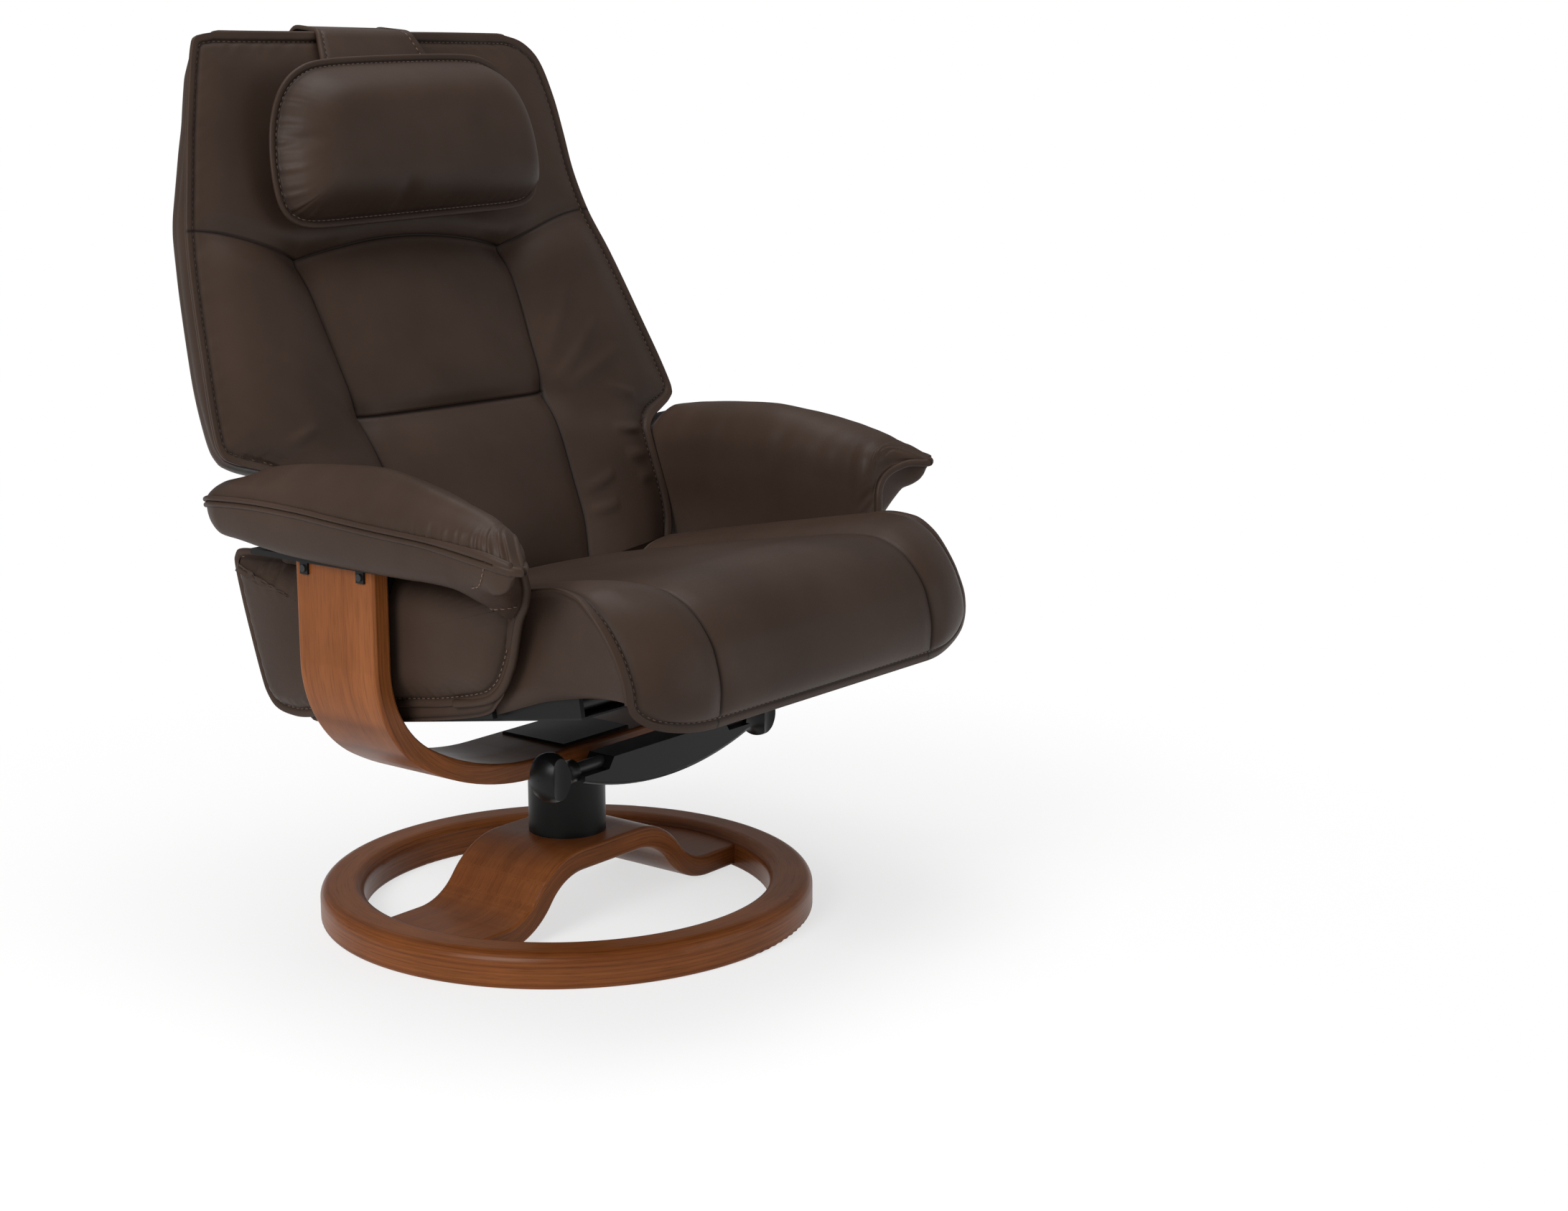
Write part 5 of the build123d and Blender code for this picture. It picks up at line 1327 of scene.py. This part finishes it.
def wood_material():
    """Stained bent laminate: streaks along the strip, fine pores and ply lines on its edges."""
    material, tree, links, shader = new_material("stained_wood")
    grain = add_node(tree, "ShaderNodeAttribute", attribute_name="grain")
    streak_place = add_node(tree, "ShaderNodeMapping", {"Scale": (1.6, 34.0, 34.0)})
    pore_place = add_node(tree, "ShaderNodeMapping", {"Scale": (26.0, 700.0, 700.0)})
    ply_place = add_node(tree, "ShaderNodeMapping", {"Scale": (0.6, 0.0, 300.0)})
    streak = add_node(tree, "ShaderNodeTexNoise", {"Scale": 1.0, "Detail": 6.0, "Distortion": 0.5})
    pore = add_node(tree, "ShaderNodeTexNoise", {"Scale": 1.0, "Detail": 2.0})
    ply = add_node(tree, "ShaderNodeTexNoise", {"Scale": 1.0, "Detail": 2.0})
    cloud = add_node(tree, "ShaderNodeTexNoise", {"Scale": 9.0, "Detail": 3.0})
    base = ramp_node(tree, WOOD_TONES)
    pore_ramp = ramp_node(tree, ((0.30, (0.62, 0.58, 0.55)), (0.52, (1.0, 1.0, 1.0))))
    ply_ramp = ramp_node(tree, ((0.36, (0.66, 0.60, 0.56)), (0.58, (1.06, 1.04, 1.02))))
    cloud_ramp = ramp_node(tree, ((0.3, (0.84, 0.82, 0.80)), (0.7, (1.08, 1.07, 1.06))))
    for node in (streak_place, pore_place, ply_place, cloud):
        wire(links, (grain, "Vector", node, "Vector"))
    wire(
        links, (streak_place, "Vector", streak, "Vector"), (pore_place, "Vector", pore, "Vector"),
        (ply_place, "Vector", ply, "Vector"), (streak, "Fac", base, "Fac"), (pore, "Fac", pore_ramp, "Fac"),
        (ply, "Fac", ply_ramp, "Fac"), (cloud, "Fac", cloud_ramp, "Fac"))
    tone = (base, "Color")
    for ramp, share in ((pore_ramp, 0.7), (ply_ramp, 0.85), (cloud_ramp, 1.0)):
        mix = add_node(tree, "ShaderNodeMix", {"Factor": share}, data_type="RGBA", blend_type="MULTIPLY")
        wire(links, (*tone, mix, "A"), (ramp, "Color", mix, "B"))
        tone = (mix, "Result")
    bump = add_node(tree, "ShaderNodeBump", {"Strength": 0.10, "Distance": 0.0004})
    gloss = add_node(tree, "ShaderNodeMapRange", {"To Min": 0.28, "To Max": 0.42})
    wire(
        links, (pore, "Fac", bump, "Height"), (streak, "Fac", gloss, "Value"),
        (*tone, shader, "Base Color"), (gloss, "Result", shader, "Roughness"),
        (bump, "Normal", shader, "Normal"))
    set_inputs(shader, {"Specular IOR Level": 0.15})
    return material


def grainy_material(name, dark, light, rough, scale, metallic=0.0, bump_size=0.0003):
    """Moulded, painted or brushed surface with a fine speckle in colour, gloss and relief."""
    material, tree, links, shader = new_material(name)
    place = add_node(tree, "ShaderNodeTexCoord")
    speckle = add_node(tree, "ShaderNodeTexNoise", {"Scale": scale, "Detail": 4.0})
    wear = add_node(tree, "ShaderNodeTexNoise", {"Scale": 11.0, "Detail": 5.0})
    color = ramp_node(tree, ((0.3, dark), (0.7, light)))
    gloss = add_node(tree, "ShaderNodeMapRange", {"To Min": rough - 0.06, "To Max": rough + 0.08})
    bump = add_node(tree, "ShaderNodeBump", {"Strength": 0.15, "Distance": bump_size})
    wire(
        links, (place, "Object", speckle, "Vector"), (place, "Object", wear, "Vector"),
        (wear, "Fac", color, "Fac"), (wear, "Fac", gloss, "Value"), (speckle, "Fac", bump, "Height"),
        (color, "Color", shader, "Base Color"), (gloss, "Result", shader, "Roughness"),
        (bump, "Normal", shader, "Normal"))
    set_inputs(shader, {"Metallic": metallic, "Specular IOR Level": 0.18})
    return material


def woven_material(name, dark, light, pitch):
    """Plain weave of two crossing waves."""
    material, tree, links, shader = new_material(name)
    place = add_node(tree, "ShaderNodeTexCoord")
    warp = add_node(tree, "ShaderNodeTexWave", {"Scale": 1 / pitch}, bands_direction="X")
    weft = add_node(tree, "ShaderNodeTexWave", {"Scale": 1 / pitch}, bands_direction="Y")
    both = add_node(tree, "ShaderNodeMath", operation="MULTIPLY")
    color = ramp_node(tree, ((0.0, dark), (1.0, light)))
    bump = add_node(tree, "ShaderNodeBump", {"Strength": 0.3, "Distance": 0.0004})
    wire(
        links, (place, "Object", warp, "Vector"), (place, "Object", weft, "Vector"),
        (warp, "Fac", both, 0), (weft, "Fac", both, 1), (both, "Value", color, "Fac"),
        (both, "Value", bump, "Height"), (color, "Color", shader, "Base Color"),
        (bump, "Normal", shader, "Normal"))
    set_inputs(shader, {"Roughness": 0.9})
    return material


def paint(obj, material):
    obj.data.materials.clear()
    obj.data.materials.append(material)


FRAME_BEND = 0.18


def set_grain(node, rule):
    """Stores the grain's own coordinates on a wooden piece: along the strip, across it and through it."""
    obj = nodes[node]
    values = np.stack(rule(vertex_places(obj)), 1).astype(np.float32)
    attribute = obj.data.attributes.new("grain", "FLOAT_VECTOR", "POINT")
    attribute.data.foreach_set("vector", values.ravel())


def ring_grain(points):
    """Round the ring, out from its middle, and up."""
    angle = np.arctan2(points[:, 1], points[:, 0])
    radius = np.hypot(points[:, 0], points[:, 1])
    return np.abs(angle) * 0.28 + 3.0, radius, points[:, 2]


def leg_grain(points):
    """Along the leg, across it, and down from its top face."""
    order = np.argsort(points[:, 0])
    x = points[order, 0]
    places = np.arange(x[0], x[-1] + 0.004, 0.004)
    tops = [points[np.abs(points[:, 0] - place) < 0.004, 2].max(initial=0.0) for place in places]
    return points[:, 0], points[:, 1] + 1.0, np.interp(points[:, 0], places, tops) - points[:, 2]


def frame_grain(points):
    """Along the U from its middle: level on the bar, upright on the posts, and an angle in between."""
    low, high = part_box("arm_frame")
    x, z = np.abs(points[:, 0]), points[:, 2] - low.z
    bar_end = high.x - FRAME_BEND
    bar, post = x < bar_end, z > FRAME_BEND
    angle = np.arctan2(x - bar_end, FRAME_BEND - z)
    along_bend = bar_end + FRAME_BEND * np.clip(angle, 0, math.pi / 2)
    along_post = bar_end + FRAME_BEND * math.pi / 2 + z - FRAME_BEND
    along = np.where(bar, x, np.where(post, along_post, along_bend))
    radius = np.hypot(x - bar_end, FRAME_BEND - z)
    through = np.where(bar | post, np.where(post, high.x - x, z), FRAME_BEND - radius)
    return along * np.sign(points[:, 0] + 1e-9), points[:, 1] + 2.0, through


def paint_frame():
    """Finishes of the loaded nodes that stay in view."""
    rules = {
        "base_ring": ring_grain, "base_leg": leg_grain, "leg_dowels": leg_grain, "arm_frame": frame_grain}
    for node, rule in rules.items():
        set_grain(node, rule)
    finishes = {"walnut": wood_material()}
    for name, look in GRAINY.items():
        finishes[name] = grainy_material(name, *look)
    for name, look in WOVEN.items():
        finishes[name] = woven_material(name, *look)
    for part in frame["record"]["subparts"]:
        finish = finishes.get(part["material_slot"])
        if finish:
            paint(nodes[part["node"]], finish)


# Set and light: each lamp's name, place, aim, size and power
LAMPS = (
    ("key", (-3.4, -0.5, 2.4), (0, 0, 0.5), (1.8, 1.8), 112),
    ("top", (0.2, 0.1, 3.4), (0, 0, 0.4), (2.0, 2.0), 56),
    ("fill", (1.4, -3.2, 0.9), (0, 0, 0.4), (2.0, 1.2), 18))
FLOOR_RADIUS = 14
FLOOR_FADE = {"From Min": 0.45, "From Max": 1.3, "To Min": 0.66}
FLOOR_LOOK = {"Base Color": (0.94, 0.94, 0.94, 1), "Roughness": 0.8, "Specular IOR Level": 0.1}
WORLD_LIGHT = 0.34


def make_floor():
    """White floor that shows the shadow near the chair and glows white further out."""
    bpy.ops.mesh.primitive_circle_add(vertices=128, radius=FLOOR_RADIUS, fill_type="NGON")
    floor = bpy.context.object
    floor.name = "floor"
    material, tree, links, shader = new_material("studio_floor")
    set_inputs(shader, FLOOR_LOOK)
    place = add_node(tree, "ShaderNodeTexCoord")
    reach = add_node(tree, "ShaderNodeVectorMath", operation="LENGTH")
    fade = add_node(tree, "ShaderNodeMapRange", FLOOR_FADE, interpolation_type="SMOOTHSTEP")
    glow = add_node(tree, "ShaderNodeEmission", {"Color": WHITE, "Strength": 1.0})
    path = add_node(tree, "ShaderNodeLightPath")
    seen = add_node(tree, "ShaderNodeMath", operation="MAXIMUM")
    share = add_node(tree, "ShaderNodeMath", operation="MULTIPLY")
    mix = add_node(tree, "ShaderNodeMixShader")
    wire(
        links, (place, "Object", reach, 0), (reach, "Value", fade, "Value"),
        (path, "Is Camera Ray", seen, 0), (path, "Is Glossy Ray", seen, 1),
        (fade, "Result", share, 0), (seen, "Value", share, 1),
        (share, "Value", mix, "Fac"), (shader, "BSDF", mix, 1), (glow, "Emission", mix, 2),
        (mix, "Shader", tree["Material Output"], "Surface"))
    paint(floor, material)


def make_world():
    """Soft white light all round, seen as plain white."""
    world = bpy.data.worlds.new("studio")
    bpy.context.scene.world = world
    world.use_nodes = True
    tree, links = world.node_tree.nodes, world.node_tree.links
    soft = tree["Background"]
    set_inputs(soft, {"Color": WHITE, "Strength": WORLD_LIGHT})
    white = add_node(tree, "ShaderNodeBackground", {"Color": WHITE, "Strength": 1.0})
    path = add_node(tree, "ShaderNodeLightPath")
    mix = add_node(tree, "ShaderNodeMixShader")
    wire(
        links, (path, "Is Camera Ray", mix, "Fac"), (soft, "Background", mix, 1),
        (white, "Background", mix, 2), (mix, "Shader", tree["World Output"], "Surface"))


def add_lamp(name, place, aim, size, power):
    """Rectangular soft light at a place, turned to its aim."""
    lamp = bpy.data.lights.new(name, "AREA")
    lamp.shape = "RECTANGLE"
    lamp.size, lamp.size_y = size
    lamp.energy = power
    obj = bpy.data.objects.new(name, lamp)
    obj.location = place
    obj.rotation_euler = (Vector(aim) - Vector(place)).to_track_quat("-Z", "Y").to_euler()
    bpy.context.scene.collection.objects.link(obj)


def make_camera():
    """Camera at the photograph's viewpoint."""
    data = bpy.data.cameras.new("photo_camera")
    data.lens = CAMERA_LENS
    data.sensor_width = SENSOR_WIDTH
    data.sensor_fit = "HORIZONTAL"
    data.clip_start, data.clip_end = 0.1, 60
    camera = bpy.data.objects.new("photo_camera", data)
    camera.location = CAMERA_PLACE
    a, e = math.radians(CAMERA_AZIMUTH), math.radians(CAMERA_ELEVATION)
    back = Vector((math.sin(a) * math.cos(e), -math.cos(a) * math.cos(e), math.sin(e)))
    camera.rotation_euler = (-back).to_track_quat("-Z", "Y").to_euler()
    bpy.context.scene.collection.objects.link(camera)
    bpy.context.scene.camera = camera


def dress(obj, material, body, slot, *replaced):
    """Paints a new piece, puts it on its body and hides the nodes that it stands for."""
    paint(obj, material)
    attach(obj, body)
    if replaced:
        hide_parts(*replaced)


def make_upholstery():
    """All leather pieces with their stitches, each on its body."""
    leather = leather_material("leather", *LEATHER)
    thread = thread_material()
    back = lift_top(make_back())
    dress(back, leather, "back", "leather", "back_cushion", "back_cover")
    dress(lift_top(back_stitches()), thread, "back", "leather")
    seat = make_seat()
    dress(seat, leather, "seat", "leather", "seat_cushion")
    dress(seat_stitches(), thread, "seat", "leather")
    pillow, pillow_stitches = make_pillow()
    dress(pillow, leather, "pillow", "leather", "head_pillow")
    dress(pillow_stitches, thread, "pillow", "leather")
    strap, strap_stitches = make_strap()
    dress(strap, leather, "back", "leather", "pillow_strap")
    dress(strap_stitches, thread, "back", "leather")
    pouch, pouch_stitches = make_counterweight()
    dress(pouch, leather, "counterweight", "leather", "pillow_counterweight")
    dress(pouch_stitches, thread, "counterweight", "leather")
    make_arms(leather, thread)


def make_arms(leather, thread):
    """Both arms with their welts, side panels and stitches."""
    pad, welts = make_arm("arm_leather_left"), make_arm_welts("arm_welts_left")
    pads = (pad, mirror_x("arm_leather_right", pad))
    trims = (welts, mirror_x("arm_welts_right", welts))
    for side, end, arm, welt in zip((1, -1), ("left", "right"), pads, trims):
        for piece in (arm, welt):
            settle_arm(piece, end)
        dress(arm, leather, "swivel", "leather", f"arm_pad_{end}")
        dress(welt, leather, "swivel", "leather")
        panel, liner, panel_stitches = make_side_panel(side, f"side_leather_{end}")
        dress(panel, leather, "swivel", "leather", f"side_panel_{end}")
        dress(liner, leather, "swivel", "leather")
        dress(panel_stitches, thread, "swivel", "leather")
        rows = arm_front_stitches(f"arm_stitches_{end}", side, end, (arm, panel))
        dress(rows, thread, "swivel", "leather")


make_camera()
make_world()
make_floor()
for lamp in LAMPS:
    add_lamp(*lamp)
paint_frame()
make_upholstery()
bpy.context.scene.view_settings.view_transform = "Standard"
